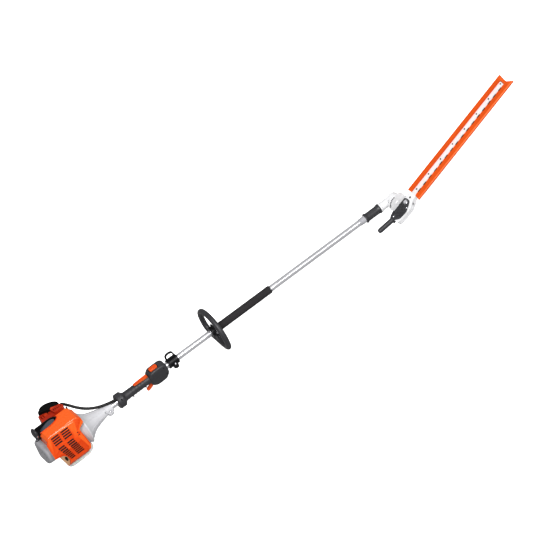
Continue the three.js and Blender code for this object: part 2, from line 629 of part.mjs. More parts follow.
// ---------- tilting head, in its own frame ----------
const CASE_PLAN = [
  [CASE.rear, -84], [-50, CASE.near], [22, CASE.near], [CASE.front, -74], [CASE.front, -34],
  [36, CASE.far - 1.5], [-18, CASE.far - 1.5], [-26, -25.5], [-58, -31], [CASE.rear, -36],
];
const CASE_SIDE = [
  [CASE.rear, CASE.bottom], [40, CASE.bottom], [CASE.front, -31], [CASE.front, CASE.top],
  [CASE.rear, CASE.top],
];
const bladeMouth = () => block(20, CASE.front + 1, BLADE_Y - 14.5, BLADE_Y + 14.5, -28, -19);
const gearRoom = () => block(-38, 38, -84, -30, -38, -19.5).add(block(-12, 12, -32, -20, -38, -19.5));

function gearCase(from, to) {
  const whole = prism('z', rounded(CASE_PLAN, 6, 2), CASE.bottom, CASE.top - GAP)
    .intersect(prism('y', CASE_SIDE, -100, 0));
  return cut(whole.intersect(block(-80, 80, -100, 0, from, to)), gearRoom(), bladeMouth());
}

function gearCaseUpper() {
  const knuckle = rod('y', 28, -28, -8, [0, 0], 28).intersect(block(-40, 40, -30, 0, CASE.split + GAP, 40));
  const boltHole = rod('z', 3.3, -30, -10, [21, BLADE_Y], 12);
  const gearWell = rod('y', 22, -27, -19, [0, 0], 24);
  const shaftBore = rod('y', 5.4, -30, -7, [0, 0]);
  return cut(gearCase(CASE.split + GAP, 0).add(knuckle), boltHole, gearWell, shaftBore, gearRoom());
}

const gearCaseLower = () => gearCase(CASE.bottom - 1, CASE.split);

/** Half-disc with the row of locking holes that the sleeve's catch drops into. */
function quadrant() {
  const disc = rod('y', 36, -36, -28 - GAP, [0, 0], 32);
  const holes = Array.from({ length: 9 }, (_, step) => {
    const angle = THREE.MathUtils.degToRad(80 + 11 * step);
    return rod('y', 2, -40, -25, [31 * Math.cos(angle), 31 * Math.sin(angle)], 10);
  });
  return cut(disc.intersect(block(-40, 40, -40, -20, CASE.top + 3 + GAP, 40)), ...holes);
}

const PLATE_PLAN = [
  [-54, -33], [-18, -28.6], [22, -29.5], [35, -42], [35, -66], [16, -78], [-9, -90], [-46, -82], [-58, -72],
];
const gearPlate = () => cut(
  prism('z', rounded(PLATE_PLAN, 5), CASE.top, CASE.top + 3),
  rod('z', 3.3, -30, -10, [21, BLADE_Y], 12),
);

const plateBolt = () => joined(
  rod('z', 3, CASE.top - 2, CASE.top + 6, [21, BLADE_Y], 12),
  rod('z', 8, CASE.top + 3 + GAP, CASE.top + 8, [21, BLADE_Y], 6),
);

function adjustingLever() {
  const length = 86;
  const grip = turned('x', [
    [0, 0], [0, 8.5], [length - 5, 8.5], [length - 2, 6.5], [length, 0],
  ], [0, 0], 20);
  const foot = block(-74, CASE.rear - GAP, -62, -46, -32, -14);
  return foot.add(grip.rotate([0, -163.3, 0]).translate([-64 - 4, BLADE_Y, -20]));
}

const transferShaft = () => turned('y', [
  [-36, 0], [-36, 5.3], [-30, 5.3], [-30, 3.5], [-25.5, 3.5], [-25.5, 6.8], [-20.5, 6.8], [-20.5, 0],
], [0, -30], 20);

const eccentricGear = () => joined(
  rod('z', 22, -37.7, -35.8, [0, BLADE_Y], 32),
  rod('z', 8, -36.5, -33, [0, BLADE_Y]),
  rod('z', 10, -33.5, -28.5, [5, BLADE_Y]),
);

function guideBar() {
  const outline = rectangle(BAR.start, BAR.end, BLADE_Y - BAR.width / 2, BLADE_Y + BAR.width / 2);
  return prism('z', rounded(outline, 5), BAR_TOP - BAR.thickness, BAR_TOP);
}

/** Double-sided comb: a spine with tapered teeth to both sides. */
function cutterBlade(top) {
  const { start, end, spine, half, pitch, teeth } = BLADE;
  const first = 76;
  const edge = (side) => Array.from({ length: teeth - 1 }, (_, step) => first + pitch * step).flatMap((x) => [
    [x, side * spine], [x + 5, side * half], [x + 11, side * half], [x + 17, side * spine],
  ]);
  const outline = [
    [start, -spine], ...edge(-1), [end, -spine], [end, spine], ...edge(1).reverse(), [start, spine],
  ];
  return prism('z', outline.map(([x, y]) => [x, y + BLADE_Y]), top - BLADE.thickness, top);
}

function scabbard() {
  const { start, end, tip, width, slot, top, bottom } = SCABBARD;
  const [near, far] = [BLADE_Y - width / 2, BLADE_Y + width / 2];
  const section = [
    [near, bottom + 4], [near + 4, bottom], [far - 4, bottom], [far, bottom + 4], [far, top - 2],
    [far - 3, top], [near + 3, top], [near, top - 2],
  ];
  const plan = [[start + GAP, near], [tip, near], [end, near + 26], [end, far], [start + GAP, far]];
  const outer = prism('x', section, start, tip).intersect(prism('z', plan, bottom - 1, top + 1));
  const inside = block(start - 1, end - 4, near + WALL, far - WALL, bottom + WALL, top - WALL);
  const channel = block(start - 1, end - 4, BLADE_Y - slot / 2, BLADE_Y + slot / 2, top - 4, top + 1);
  return cut(outer, inside, channel);
}

// ---------- assembly ----------
const tool = new THREE.Group();
tool.rotation.y = REST_TILT;

addPart(tool, 'crankcase', 'castAluminium', crankcase());
addPart(tool, 'cylinder', 'castAluminium', cylinder());
addPart(tool, 'piston', 'aluminium', piston());
addPart(tool, 'connecting_rod', 'steel', connectingRod());
addPart(tool, 'crankshaft', 'steel', crankshaft());
addPart(tool, 'flywheel', 'castAluminium', flywheel());
addPart(tool, 'clutch_rotor', 'steel', clutchRotor());
addPart(tool, 'clutch_drum', 'steel', clutchDrum());
addPart(tool, 'starter_cup', 'black', starterCup());
addPart(tool, 'engine_shroud', 'orange', engineShroud());
addPart(tool, 'muffler', 'darkSteel', muffler());
addPart(tool, 'ignition_module', 'black', ignitionModule());
addPart(tool, 'spark_plug', 'ceramic', sparkPlug());
addPart(tool, 'plug_boot', 'rubber', plugBoot());
addPart(tool, 'plug_cover', 'glossBlue', plugCover());
addPart(tool, 'fuel_tank', 'tank', fuelTank());
addPart(tool, 'fuel_cap', 'black', fuelCap());
addPart(tool, 'starter_housing', 'greyPlastic', starterHousing());
addPart(tool, 'starter_pulley', 'black', starterPulley());
addPart(tool, 'starter_grip', 'black', starterGrip());
addPart(tool, 'air_filter_base', 'darkOrange', airFilterBase());
addPart(tool, 'air_filter_element', 'paper', airFilterElement());
addPart(tool, 'air_filter_cover', 'black', airFilterCover());
addPart(tool, 'carburetor', 'castAluminium', carburetor());
addPart(tool, 'choke_lever', 'black', chokeLever());
addPart(tool, 'primer_bulb', 'rubber', primerBulb());
addPart(tool, 'clutch_housing', 'greyPlastic', clutchHousing());
addPart(tool, 'drum_bearing', 'steel', drumBearing());
addPart(tool, 'throttle_cable', 'rubber', throttleCable());
addPart(tool, 'drive_tube', 'aluminium', driveTube());
addPart(tool, 'drive_shaft', 'steel', driveShaft());
addPart(tool, 'tube_bush_rear', 'rubber', tubeBush(-280));
addPart(tool, 'tube_bush_front', 'rubber', tubeBush(320));
addPart(tool, 'handle_half_near', 'black', handleHalf(-1));
addPart(tool, 'handle_half_far', 'black', handleHalf(1));
addPart(tool, 'throttle_trigger', 'orange', throttleTrigger());
addPart(tool, 'throttle_lock', 'orange', throttleLock());
addPart(tool, 'stop_button', 'orange', stopButton());
addPart(tool, 'carry_ring', 'black', carryRing());
addPart(tool, 'carry_ring_screw', 'steel', carryRingScrew());
addPart(tool, 'loop_handle', 'black', loopHandle());
addPart(tool, 'loop_clamp', 'black', loopClamp());
addPart(tool, 'loop_bolt', 'steel', loopBolt());
addPart(tool, 'foam_sleeve', 'foam', foamSleeve());
addPart(tool, 'tube_adapter', 'greyPlastic', tubeAdapter());
addPart(tool, 'lock_sleeve', 'black', lockSleeve());
addPart(tool, 'joint_housing', 'greyPlastic', jointHousing());
addPart(tool, 'cross_shaft', 'steel', crossShaft());

const head = new THREE.Group();
head.position.x = PIVOT_X;
head.rotation.y = -BEND;
tool.add(head);
addPart(head, 'gear_case_upper', 'greyPlastic', gearCaseUpper());
addPart(head, 'gear_case_lower', 'greyPlastic', gearCaseLower());
addPart(head, 'quadrant', 'greyPlastic', quadrant());
addPart(head, 'gear_plate', 'black', gearPlate());
addPart(head, 'plate_bolt', 'steel', plateBolt());
addPart(head, 'adjusting_lever', 'black', adjustingLever());
addPart(head, 'transfer_shaft', 'steel', transferShaft());
addPart(head, 'eccentric_gear', 'steel', eccentricGear());
addPart(head, 'guide_bar', 'steel', guideBar());
addPart(head, 'upper_blade', 'steel', cutterBlade(-22 - GAP));
addPart(head, 'lower_blade', 'steel', cutterBlade(-24 - 2 * GAP));
addPart(head, 'scabbard', 'orange', scabbard());

// The origin is the middle of the box on the floor.
const trimmer = new THREE.Group();
trimmer.add(tool);
const box = new THREE.Box3().setFromObject(trimmer, true);
const middle = box.getCenter(new THREE.Vector3());
tool.position.set(-middle.x, -middle.y, -box.min.z);

export default trimmer;
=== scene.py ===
"""Pole hedge trimmer: camera, studio, materials and the finely shaped pieces.

Shapes are drawn in millimetres in the tool's own frame (X along the drive tube from
the engine, Z up, origin on the tube's axis) or in the head's frame (origin on the tilt
pivot, X along the blades), and placed from the frame's joints.
"""
import json
import math

import bmesh
import bpy
from mathutils import Matrix, Vector


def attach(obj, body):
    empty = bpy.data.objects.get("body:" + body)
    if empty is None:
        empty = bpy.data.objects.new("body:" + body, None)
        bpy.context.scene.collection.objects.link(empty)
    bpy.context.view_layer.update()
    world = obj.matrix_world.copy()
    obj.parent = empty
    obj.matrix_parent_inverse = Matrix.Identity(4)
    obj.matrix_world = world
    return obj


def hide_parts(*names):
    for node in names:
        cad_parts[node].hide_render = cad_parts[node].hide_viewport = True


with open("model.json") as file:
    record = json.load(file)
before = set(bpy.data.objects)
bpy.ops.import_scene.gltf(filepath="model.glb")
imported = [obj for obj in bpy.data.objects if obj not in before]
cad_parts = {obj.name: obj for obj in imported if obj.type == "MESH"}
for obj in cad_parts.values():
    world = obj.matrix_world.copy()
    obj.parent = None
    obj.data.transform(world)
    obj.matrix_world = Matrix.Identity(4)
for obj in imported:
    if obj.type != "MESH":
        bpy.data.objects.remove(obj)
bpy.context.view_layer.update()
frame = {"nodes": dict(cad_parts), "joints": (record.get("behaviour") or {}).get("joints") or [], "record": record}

JOINTS = {joint["name"]: joint for joint in frame["joints"]}
MM = 0.001


def placement(origin, forward):
    """Frame whose X runs forward and whose Y is the row's Y, from millimetres to metres."""
    x = Vector(forward).normalized()
    y = Vector((0, 1, 0))
    turn = Matrix((x, y, x.cross(y))).transposed().to_4x4()
    return Matrix.Translation(Vector(origin)) @ turn @ Matrix.Scale(MM, 4)


TOOL = placement(JOINTS["drive_spin"]["pos_m"], JOINTS["drive_spin"]["axis"])
HEAD = placement(JOINTS["head_tilt"]["pos_m"], JOINTS["upper_stroke"]["axis"])

# ---------------------------------------------------------------- camera and studio
CAMERA_RIGHT = Vector((0.788, -0.534, -0.307))
CAMERA_UP = Vector((0.583, 0.485, 0.652))
CAMERA_TARGET = Vector((144.8, 0, 46.8))
FRAME_WIDTH = 2172.0
FOCAL = 1500.0
SENSOR = 36.0
CLIP_END = 300.0  # metres, past the far side of the floor
FLOOR_HALF = 8.0  # metres


def linked(name, data):
    """New object in the scene that holds a mesh, a lamp or a camera."""
    made = bpy.data.objects.new(name, data)
    bpy.context.scene.collection.objects.link(made)
    return made


def add_camera():
    """Long lens, far off along the view, so that the picture is nearly without perspective."""
    right = CAMERA_RIGHT.normalized()
    back = right.cross(CAMERA_UP).normalized()
    up = back.cross(right)
    turn = TOOL.to_3x3().normalized() @ Matrix((right, up, back)).transposed()
    distance = FRAME_WIDTH * FOCAL / SENSOR
    data = bpy.data.cameras.new("camera")
    data.lens = FOCAL
    data.sensor_width = SENSOR
    data.clip_end = CLIP_END
    camera = linked("camera", data)
    place = TOOL @ (CAMERA_TARGET + back * distance)
    camera.matrix_world = Matrix.Translation(place) @ turn.to_4x4()
    bpy.context.scene.camera = camera


def add_area_light(name, place, size, power):
    """Rectangular lamp, in metres and watts, turned toward the middle of the tool."""
    data = bpy.data.lights.new(name, "AREA")
    data.shape = "RECTANGLE"
    data.size, data.size_y = size
    data.energy = power
    light = linked(name, data)
    light.location = place
    light.rotation_euler = (Vector((0, 0, 0)) - Vector(place)).to_track_quat("-Z", "Y").to_euler()


def add_sun(name, toward, spread, power):
    """Sunlight toward a direction, its edges softened over an angle in degrees."""
    data = bpy.data.lights.new(name, "SUN")
    data.angle = math.radians(spread)
    data.energy = power
    light = linked(name, data)
    light.rotation_euler = Vector(toward).to_track_quat("-Z", "Y").to_euler()


def add_studio():
    """Even white surround, one broad key light, and lamps that draw the highlights."""
    world = bpy.data.worlds.new("studio")
    world.use_nodes = True
    world.node_tree.nodes["Background"].inputs["Color"].default_value = (1, 1, 1, 1)
    world.node_tree.nodes["Background"].inputs["Strength"].default_value = 0.4
    bpy.context.scene.world = world
    view = bpy.context.scene.view_settings
    view.view_transform = "Standard"
    view.look = "Medium High Contrast"
    view.exposure = -0.1
    add_sun("key", (0.35, 0.62, -0.85), 20, 1.65)
    add_area_light("front", (0.7, -2.4, 2.5), (3.2, 0.6), 34)
    add_area_light("overhead", (-0.2, -0.9, 3.4), (0.6, 0.6), 8)
    add_area_light("crest", (-0.41, -1.95, 2.53), (0.8, 0.8), 26)


def add_floor():
    """White paper that glows a little, and lends the tool no light of its own."""
    floor = linked("floor", bpy.data.meshes.new("floor"))
    corners = [(x, y, 0) for x, y in rectangle(-FLOOR_HALF, FLOOR_HALF, -FLOOR_HALF, FLOOR_HALF)]
    floor.data.from_pydata(corners, [], [(0, 1, 2, 3)])
    paint = plain_material("floor_paper", (0.93, 0.93, 0.93), 0.9)
    glow = paint.node_tree.nodes["Principled BSDF"].inputs
    glow["Emission Color"].default_value = (1, 1, 1, 1)
    glow["Emission Strength"].default_value = 0.7
    floor.data.materials.append(paint)
    floor.visible_diffuse = False
    floor.visible_glossy = False


# ---------------------------------------------------------------- materials
WEAR_STRENGTH = 0.55  # how far a worn edge turns to its lighter colour


def plain_material(name, color, roughness, metallic=0.0, coat=0.0):
    made = bpy.data.materials.new(name)
    made.use_nodes = True
    shader = made.node_tree.nodes["Principled BSDF"]
    shader.inputs["Base Color"].default_value = (*color, 1)
    shader.inputs["Roughness"].default_value = roughness
    shader.inputs["Metallic"].default_value = metallic
    shader.inputs["Coat Weight"].default_value = coat
    return made


def add_node(tree, kind, **values):
    node = tree.nodes.new(kind)
    for key, value in values.items():
        if key in node.inputs:
            node.inputs[key].default_value = value
        else:
            setattr(node, key, value)
    return node


def noise(tree, scale, detail=3.0, stretch=(1, 1, 1)):
    """Noise over the object's own coordinates, in cycles per metre along each axis."""
    place = add_node(tree, "ShaderNodeTexCoord")
    mapping = add_node(tree, "ShaderNodeMapping")
    mapping.inputs["Scale"].default_value = stretch
    tree.links.new(place.outputs["Object"], mapping.inputs["Vector"])
    texture = add_node(tree, "ShaderNodeTexNoise", Scale=scale, Detail=detail)
    tree.links.new(mapping.outputs["Vector"], texture.inputs["Vector"])
    return texture.outputs["Fac"]


def ramp(tree, factor, stops):
    """Colour along a factor, from (position, colour) stops."""
    node = add_node(tree, "ShaderNodeValToRGB")
    elements = node.color_ramp.elements
    while len(elements) < len(stops):
        elements.new(0.5)
    for element, (position, color) in zip(elements, stops):
        element.position = position
        element.color = (*color, 1) if len(color) == 3 else color
    tree.links.new(factor, node.inputs["Fac"])
    return node.outputs["Color"]


def grey(value):
    return (value, value, value)


def shade(color, factor):
    return tuple(min(1.0, channel * factor) for channel in color)


def surface(name, color, roughness, metallic=0.0, coat=0.0, mottle=0.06, mottle_scale=18.0,
            grain=900.0, bump=0.15, bump_depth=0.0002, spread=0.08, stretch=(1, 1, 1), wear=None,
            specular=0.35):
    """Procedural finish: drifting colour, uneven gloss, fine grain and lighter worn edges."""
    made = plain_material(name, color, roughness, metallic, coat)
    tree = made.node_tree
    shader = tree.nodes["Principled BSDF"]
    shader.inputs["Specular IOR Level"].default_value = specular
    drift = ramp(tree, noise(tree, mottle_scale, 4.0), [
        (0.3, shade(color, 1 - mottle)), (0.7, shade(color, 1 + mottle)),
    ])
    if wear:
        edges = ramp(tree, add_node(tree, "ShaderNodeNewGeometry").outputs["Pointiness"], [
            (0.52, grey(0)), (0.6, grey(1)),
        ])
        amount = add_node(tree, "ShaderNodeMath", operation="MULTIPLY")
        amount.inputs[1].default_value = WEAR_STRENGTH
        tree.links.new(edges, amount.inputs[0])
        mix = add_node(tree, "ShaderNodeMix", data_type="RGBA")
        tree.links.new(amount.outputs[0], mix.inputs["Factor"])
        colour_in = [socket for socket in mix.inputs if socket.type == "RGBA"]
        colour_in[1].default_value = (*wear, 1)
        tree.links.new(drift, colour_in[0])
        drift = [socket for socket in mix.outputs if socket.type == "RGBA"][0]
    tree.links.new(drift, shader.inputs["Base Color"])
    fine = noise(tree, grain, 4.0, stretch)
    gloss = ramp(tree, noise(tree, mottle_scale * 5, 3.0, stretch), [
        (0.3, grey(max(0.03, roughness - spread))), (0.7, grey(min(1.0, roughness + spread))),
    ])
    tree.links.new(gloss, shader.inputs["Roughness"])
    relief = add_node(tree, "ShaderNodeBump", Strength=bump, Distance=bump_depth)
    tree.links.new(fine, relief.inputs["Height"])
    tree.links.new(relief.outputs["Normal"], shader.inputs["Normal"])
    return made


MATERIALS = {
    "shroud_orange": dict(
        color=(0.57, 0.046, 0.001), roughness=0.28, coat=0.3, specular=0.22, mottle=0.04, grain=500,
        bump=0.015, wear=(0.95, 0.19, 0.03),
    ),
    "control_orange": dict(
        color=(0.62, 0.075, 0.006), roughness=0.38, coat=0.2, grain=1400, bump=0.12, wear=(0.9, 0.2, 0.04),
    ),
    "scabbard_orange": dict(
        color=(0.62, 0.088, 0.005), roughness=0.42, mottle=0.07, grain=1100,
        wear=(0.85, 0.16, 0.03),
    ),
    "filter_orange": dict(
        color=(0.34, 0.022, 0.005), roughness=0.5, mottle=0.08, grain=1300, bump=0.2, wear=(0.7, 0.09, 0.02),
    ),
    "black_plastic": dict(
        color=(0.008, 0.008, 0.009), roughness=0.36, mottle=0.15, grain=1500, bump=0.2, specular=0.28,
        wear=(0.03, 0.03, 0.032),
    ),
    "grip_plastic": dict(
        color=(0.038, 0.038, 0.042), roughness=0.42, mottle=0.12, grain=2200, bump=0.35, bump_depth=0.0003,
        specular=0.4, wear=(0.055, 0.055, 0.06),
    ),
    "light_grey": dict(
        color=(0.53, 0.53, 0.55), roughness=0.42, mottle=0.03, grain=700, bump=0.14, wear=(0.6, 0.6, 0.62),
    ),
    "grey_plastic": dict(
        color=(0.34, 0.34, 0.36), roughness=0.45, mottle=0.04, grain=1300, wear=(0.52, 0.52, 0.54),
    ),
    "tank_plastic": dict(color=(0.8, 0.78, 0.75), roughness=0.38, mottle=0.05, grain=300, bump=0.1),
    "gloss_blue": dict(
        color=(0.07, 0.076, 0.095), roughness=0.1, coat=0.6, mottle=0.1, grain=400, bump=0.03, spread=0.05,
    ),
    "cast_aluminium": dict(
        color=(0.52, 0.52, 0.54), roughness=0.55, metallic=0.9, mottle=0.08, grain=1600, bump=0.4,
    ),
    "tube_aluminium": dict(
        color=(0.8, 0.8, 0.83), roughness=0.26, metallic=0.85, mottle=0.03, grain=260, bump=0.08,
        stretch=(0.03, 4, 4), spread=0.07,
    ),
    "steel": dict(color=(0.6, 0.6, 0.62), roughness=0.3, metallic=1.0, bump=0.12),
    "blade_steel": dict(
        color=(0.88, 0.82, 0.82), roughness=0.38, metallic=0.3, mottle=0.04, grain=500, bump=0.12,
        stretch=(3, 0.1, 3),
    ),
    "dark_steel": dict(
        color=(0.09, 0.08, 0.07), roughness=0.6, metallic=0.8, mottle=0.3, grain=600, bump=0.3,
    ),
    "matt_black": dict(
        color=(0.005, 0.005, 0.005), roughness=0.55, mottle=0.15, grain=1500, bump=0.2, specular=0.14,
    ),
    "black_rubber": dict(color=(0.006, 0.006, 0.006), roughness=0.45, mottle=0.15, grain=1800, bump=0.25),
    "foam": dict(
        color=(0.03, 0.028, 0.03), roughness=0.95, mottle=0.12, mottle_scale=60, grain=1300, bump=0.9,
        bump_depth=0.0008, spread=0.04,
    ),
    "head_white": dict(
        color=(0.7, 0.7, 0.71), roughness=0.4, mottle=0.03, grain=700, bump=0.14, wear=(0.8, 0.8, 0.81),
    ),
    "exhaust_tan": dict(color=(0.4, 0.24, 0.14), roughness=0.5, mottle=0.12, bump=0.2),
    "cord": dict(color=(0.03, 0.03, 0.03), roughness=0.85, grain=2500, bump=0.5),
    "filter_media": dict(color=(0.7, 0.6, 0.35), roughness=0.9, grain=1500, bump=0.6),
}
FINISH = {name: surface(name, **look) for name, look in MATERIALS.items()}
tank_shader = FINISH["tank_plastic"].node_tree.nodes["Principled BSDF"]
tank_shader.inputs["Subsurface Weight"].default_value = 0.35
tank_shader.inputs["Subsurface Scale"].default_value = 0.02

# ---------------------------------------------------------------- shape helpers
AXIS_ORDER = {"x": (1, 2, 0), "y": (0, 2, 1), "z": (0, 1, 2)}  # where u, v and the distance along go


def turns(count):
    """Cosine and sine of evenly spaced angles, once round."""
    angles = [2 * math.pi * step / count for step in range(count)]
    return [(math.cos(angle), math.sin(angle)) for angle in angles]


def spoke(degrees):
    """Directions outward and sideways at an angle round the tube."""
    angle = math.radians(degrees)
    return Vector((0, math.cos(angle), math.sin(angle))), Vector((0, -math.sin(angle), math.cos(angle)))


def point_on(axis, u, v, along):
    """Point at (u, v) across an axis and some way along it."""
    point = [0.0, 0.0, 0.0]
    for index, value in zip(AXIS_ORDER[axis], (u, v, along)):
        point[index] = value
    return point


def make(name, points, faces, space=TOOL):
    """New object from points in millimetres in the tool's or the head's frame."""
    mesh = bpy.data.meshes.new(name)
    mesh.from_pydata([space @ Vector(point) for point in points], [], faces)
    mesh.validate()
    made = linked(name, mesh)
    outward(made)
    return made


def outward(thing):
    """Merges doubled points and turns every face outward."""
    shell = bmesh.new()
    shell.from_mesh(thing.data)
    bmesh.ops.remove_doubles(shell, verts=shell.verts, dist=1e-7)
    bmesh.ops.recalc_face_normals(shell, faces=shell.faces)
    shell.to_mesh(thing.data)
    shell.free()


def lathe(name, axis, profile, centre=(0, 0), segments=64, space=TOOL):
    """Turns (distance along the axis, radius) pairs round the axis; ends sit on it or meet."""
    points, rings, faces = [], [], []
    for along, radius in profile:
        if radius < 1e-6:
            rings.append([len(points)] * segments)
            points.append(point_on(axis, *centre, along))
            continue
        start = len(points)
        rings.append([start + step for step in range(segments)])
        for across, up in turns(segments):
            points.append(point_on(axis, centre[0] + radius * across, centre[1] + radius * up, along))
    for first, second in zip(rings, rings[1:]):
        for step in range(segments):
            after = (step + 1) % segments
            corners = [first[step], first[after], second[after], second[step]]
            faces.append(list(dict.fromkeys(corners)))
    return make(name, points, [face for face in faces if len(face) > 2], space)


def loft(name, sections, space=TOOL):
    """Skin over rings of equally many points, capped at both ends."""
    count = len(sections[0])
    points = [point for section in sections for point in section]
    faces = []
    for ring in range(len(sections) - 1):
        base = ring * count
        for step in range(count):
            after = (step + 1) % count
            faces.append([base + step, base + after, base + count + after, base + count + step])
    faces.append(list(range(count)))
    faces.append([len(points) - count + step for step in range(count)])
    return make(name, points, faces, space)


def prism(name, axis, outline, start, end, space=TOOL):
    """Outline across an axis, drawn out from start to end along it."""
    rings = [[point_on(axis, u, v, along) for u, v in outline] for along in (start, end)]
    return loft(name, rings, space)


def rounded(corners, radius, steps=6):
    """Outline with each corner replaced by a quadratic curve; one radius, or one for each corner."""
    outline = []
    count = len(corners)
    radii = radius if isinstance(radius, (list, tuple)) else [radius] * count
    for index, corner in enumerate(corners):
        here = Vector(corner)
        before = Vector(corners[index - 1])
        after = Vector(corners[(index + 1) % count])
        entry = here.lerp(before, min(0.49, radii[index] / (here - before).length))
        exit_point = here.lerp(after, min(0.49, radii[index] / (here - after).length))
        for step in range(steps + 1):
            t = step / steps
            outline.append(tuple(entry * (1 - t) ** 2 + here * 2 * t * (1 - t) + exit_point * t * t))
    return outline


def rectangle(u0, u1, v0, v1):
    return [(u0, v0), (u1, v0), (u1, v1), (u0, v1)]


def circle(radius, centre=(0, 0), sides=32):
    return [(centre[0] + radius * across, centre[1] + radius * up) for across, up in turns(sides)]


def block(name, x0, x1, y0, y1, z0, z1, space=TOOL):
    return prism(name, "z", rectangle(x0, x1, y0, y1), z0, z1, space)


def settle(thing):
    """Applies every modifier, so that the mesh is final."""
    bpy.context.view_layer.update()
    graph = bpy.context.evaluated_depsgraph_get()
    mesh = bpy.data.meshes.new_from_object(thing.evaluated_get(graph))
    thing.modifiers.clear()
    thing.data = mesh
    return thing


def bevel(thing, width, segments=3, angle=30):
    """Rounds the edges that turn by more than an angle."""
    modifier = thing.modifiers.new("bevel", "BEVEL")
    modifier.width = width * MM
    modifier.segments = segments
    modifier.limit_method = "ANGLE"
    modifier.angle_limit = math.radians(angle)
    modifier.use_clamp_overlap = True
    return settle(thing)


def combine(thing, operation, tools):
    """Applies one boolean for each tool and removes the tools."""
    for tool in tools:
        modifier = thing.modifiers.new(operation, "BOOLEAN")
        modifier.operation = operation
        modifier.solver = "MANIFOLD"
        modifier.object = tool
    settle(thing)
    for tool in tools:
        bpy.data.objects.remove(tool)
    return thing


def cut(thing, *tools):
    return combine(thing, "DIFFERENCE", tools)


def join(thing, *tools):
    return combine(thing, "UNION", tools)


def keep_inside(thing, *tools):
    return combine(thing, "INTERSECT", tools)


def show(thing, slot, replaces=(), body="root", finish=None, smooth=32):
    """Gives a piece its finish, its smoothing and the body it rides on."""
    thing.data.materials.clear()
    thing.data.materials.append(FINISH[finish or slot])
    thing.data.shade_smooth()
    thing.data.set_sharp_from_angle(angle=math.radians(smooth))
    level = thing.modifiers.new("level", "WEIGHTED_NORMAL")
    level.keep_sharp = True
    settle(thing)
    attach(thing, body)
    for node in replaces:
        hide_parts(node)
    return thing


def merged(things):
    """Joins loose pieces into the first one's mesh, with no boolean."""
    shell = bmesh.new()
    for thing in things:
        shell.from_mesh(thing.data)
    shell.to_mesh(things[0].data)
    shell.free()
    for thing in things[1:]:
        bpy.data.objects.remove(thing)
    return things[0]


def socket_screw(name, centre, base, radius, axis="z", height=4.0, space=TOOL):
    """Cap screw with a hexagon socket; the head stands on base."""
    top = base + height
    head = lathe(name, axis, [
        (base, 0), (base, radius), (top - 0.8, radius), (top, radius - 0.8), (top, 0),
    ], centre, 32, space)
    return cut(head, prism("hex", axis, circle(radius * 0.52, centre, 6), top - radius * 0.5, top + 2, space))


def sweep(name, route, radius, sides=20, steps=8):
    """Round cable along a smooth curve through the route's points."""
    points = [Vector(point) for point in route]
    path = []
    for index in range(len(points) - 1):
        p0 = points[max(0, index - 1)]
        p1, p2 = points[index], points[index + 1]
        p3 = points[min(len(points) - 1, index + 2)]
        for step in range(steps):
            t = step / steps
            square = (2 * p0 - 5 * p1 + 4 * p2 - p3) * t ** 2
            cube = (3 * p1 - p0 - 3 * p2 + p3) * t ** 3
            path.append(0.5 * (2 * p1 + (p2 - p0) * t + square + cube))
    path.append(points[-1])
    rings = []
    side = Vector((0, 1, 0))
    for index, place in enumerate(path):
        forward = (path[min(index + 1, len(path) - 1)] - path[max(index - 1, 0)]).normalized()
        side = (side - forward * side.dot(forward)).normalized()
        lift = forward.cross(side)
        swell = radius + 0.12 * (index % 2)
        rings.append([place + (side * cosine + lift * sine) * swell for cosine, sine in turns(sides)])
    return loft(name, rings)


# ---------------------------------------------------------------- engine
# The cover seen along the tube; then, from the near side, the cover, the exhaust shield and the raised panel.
SHROUD_SECTION = [(-91, -36), (-98, -22), (-84, 34), (-42, 110), (36, 110), (46, 98), (46, -36)]
SHROUD_SIDE = [
    (-1014, -35.4), (-1014, 85), (-989, 109.4), (-852, 109.4), (-838, 96), (-838, 80), (-866, 67), (-867, 58),
    (-858, -6), (-869, -35.4),
]
SHIELD_SIDE = [(-994, 27), (-981, 25), (-967, 12), (-964, -10), (-973, -30), (-983, -26)]
PANEL_SIDE = [
    (-1015, -46), (-1015, 87), (-993, 111), (-869, 111), (-888, 74), (-880, 30), (-868, -8), (-880, -46),
]
REST_TILT = math.asin(-JOINTS["drive_spin"]["axis"][2])  # the tube slopes this much as the tool lies


def shroud_solid(section, side, start, end, width):
    """Body with one outline along the tube and another from the side, its edges rounded."""
    solid = prism("shroud", "x", section, start, end)
    keep_inside(solid, prism("side", "y", side, -130, 80))
    return bevel(solid, width, 4, angle=11)


def wall_y(z):
    """Where the near wall stands at a height."""
    lower = 1 if z < 34 else 2
    (y0, z0), (y1, z1) = SHROUD_SECTION[lower:lower + 2]
    return y0 + (y1 - y0) * (z - z0) / (z1 - z0)


def cooling_slots():
    """Four groups of long slots with round ends, cut square to the near wall's slant."""
    rows = []
    for step in range(4):
        low = 69 + 8.9 * step
        rows += [(-986, -950, low, 5.4), (-940, -903, low, 5.4)]
    for step in range(8):
        low = -8 + 8.4 * step
        rows.append((-958 - 3.6 * step, -937 - 2.3 * step, low, 5.8))
        rows.append((-926 - 1.9 * step, -893 - 2.2 * step, low, 5.8))
    rows += [(-885, -877, 52, 3), (-884, -878, 62, 3)]
    depth = Vector((0, 0.8, -0.6)) * 16
    slots = []
    for x0, x1, low, height in rows:
        outline = rounded(rectangle(x0, x1, low, low + height), height * 0.4, 3)
        slots.append(loft("slot", [
            [Vector((x, wall_y(z), z)) + depth * way for x, z in outline] for way in (-1, 1)
        ]))
    return slots


def crest_cut():
    """Wedge along the near crest that leaves one flat facet, broad at the front."""
    corners = ((-60, 88.6), (-25.5, 120), (-60, 120))
    return loft("crest_cut", [
        [(x, y - 0.67 * lift, z + 0.74 * lift) for y, z in corners] for x, lift in ((-1020, 3.1), (-866, 1.1))
    ])


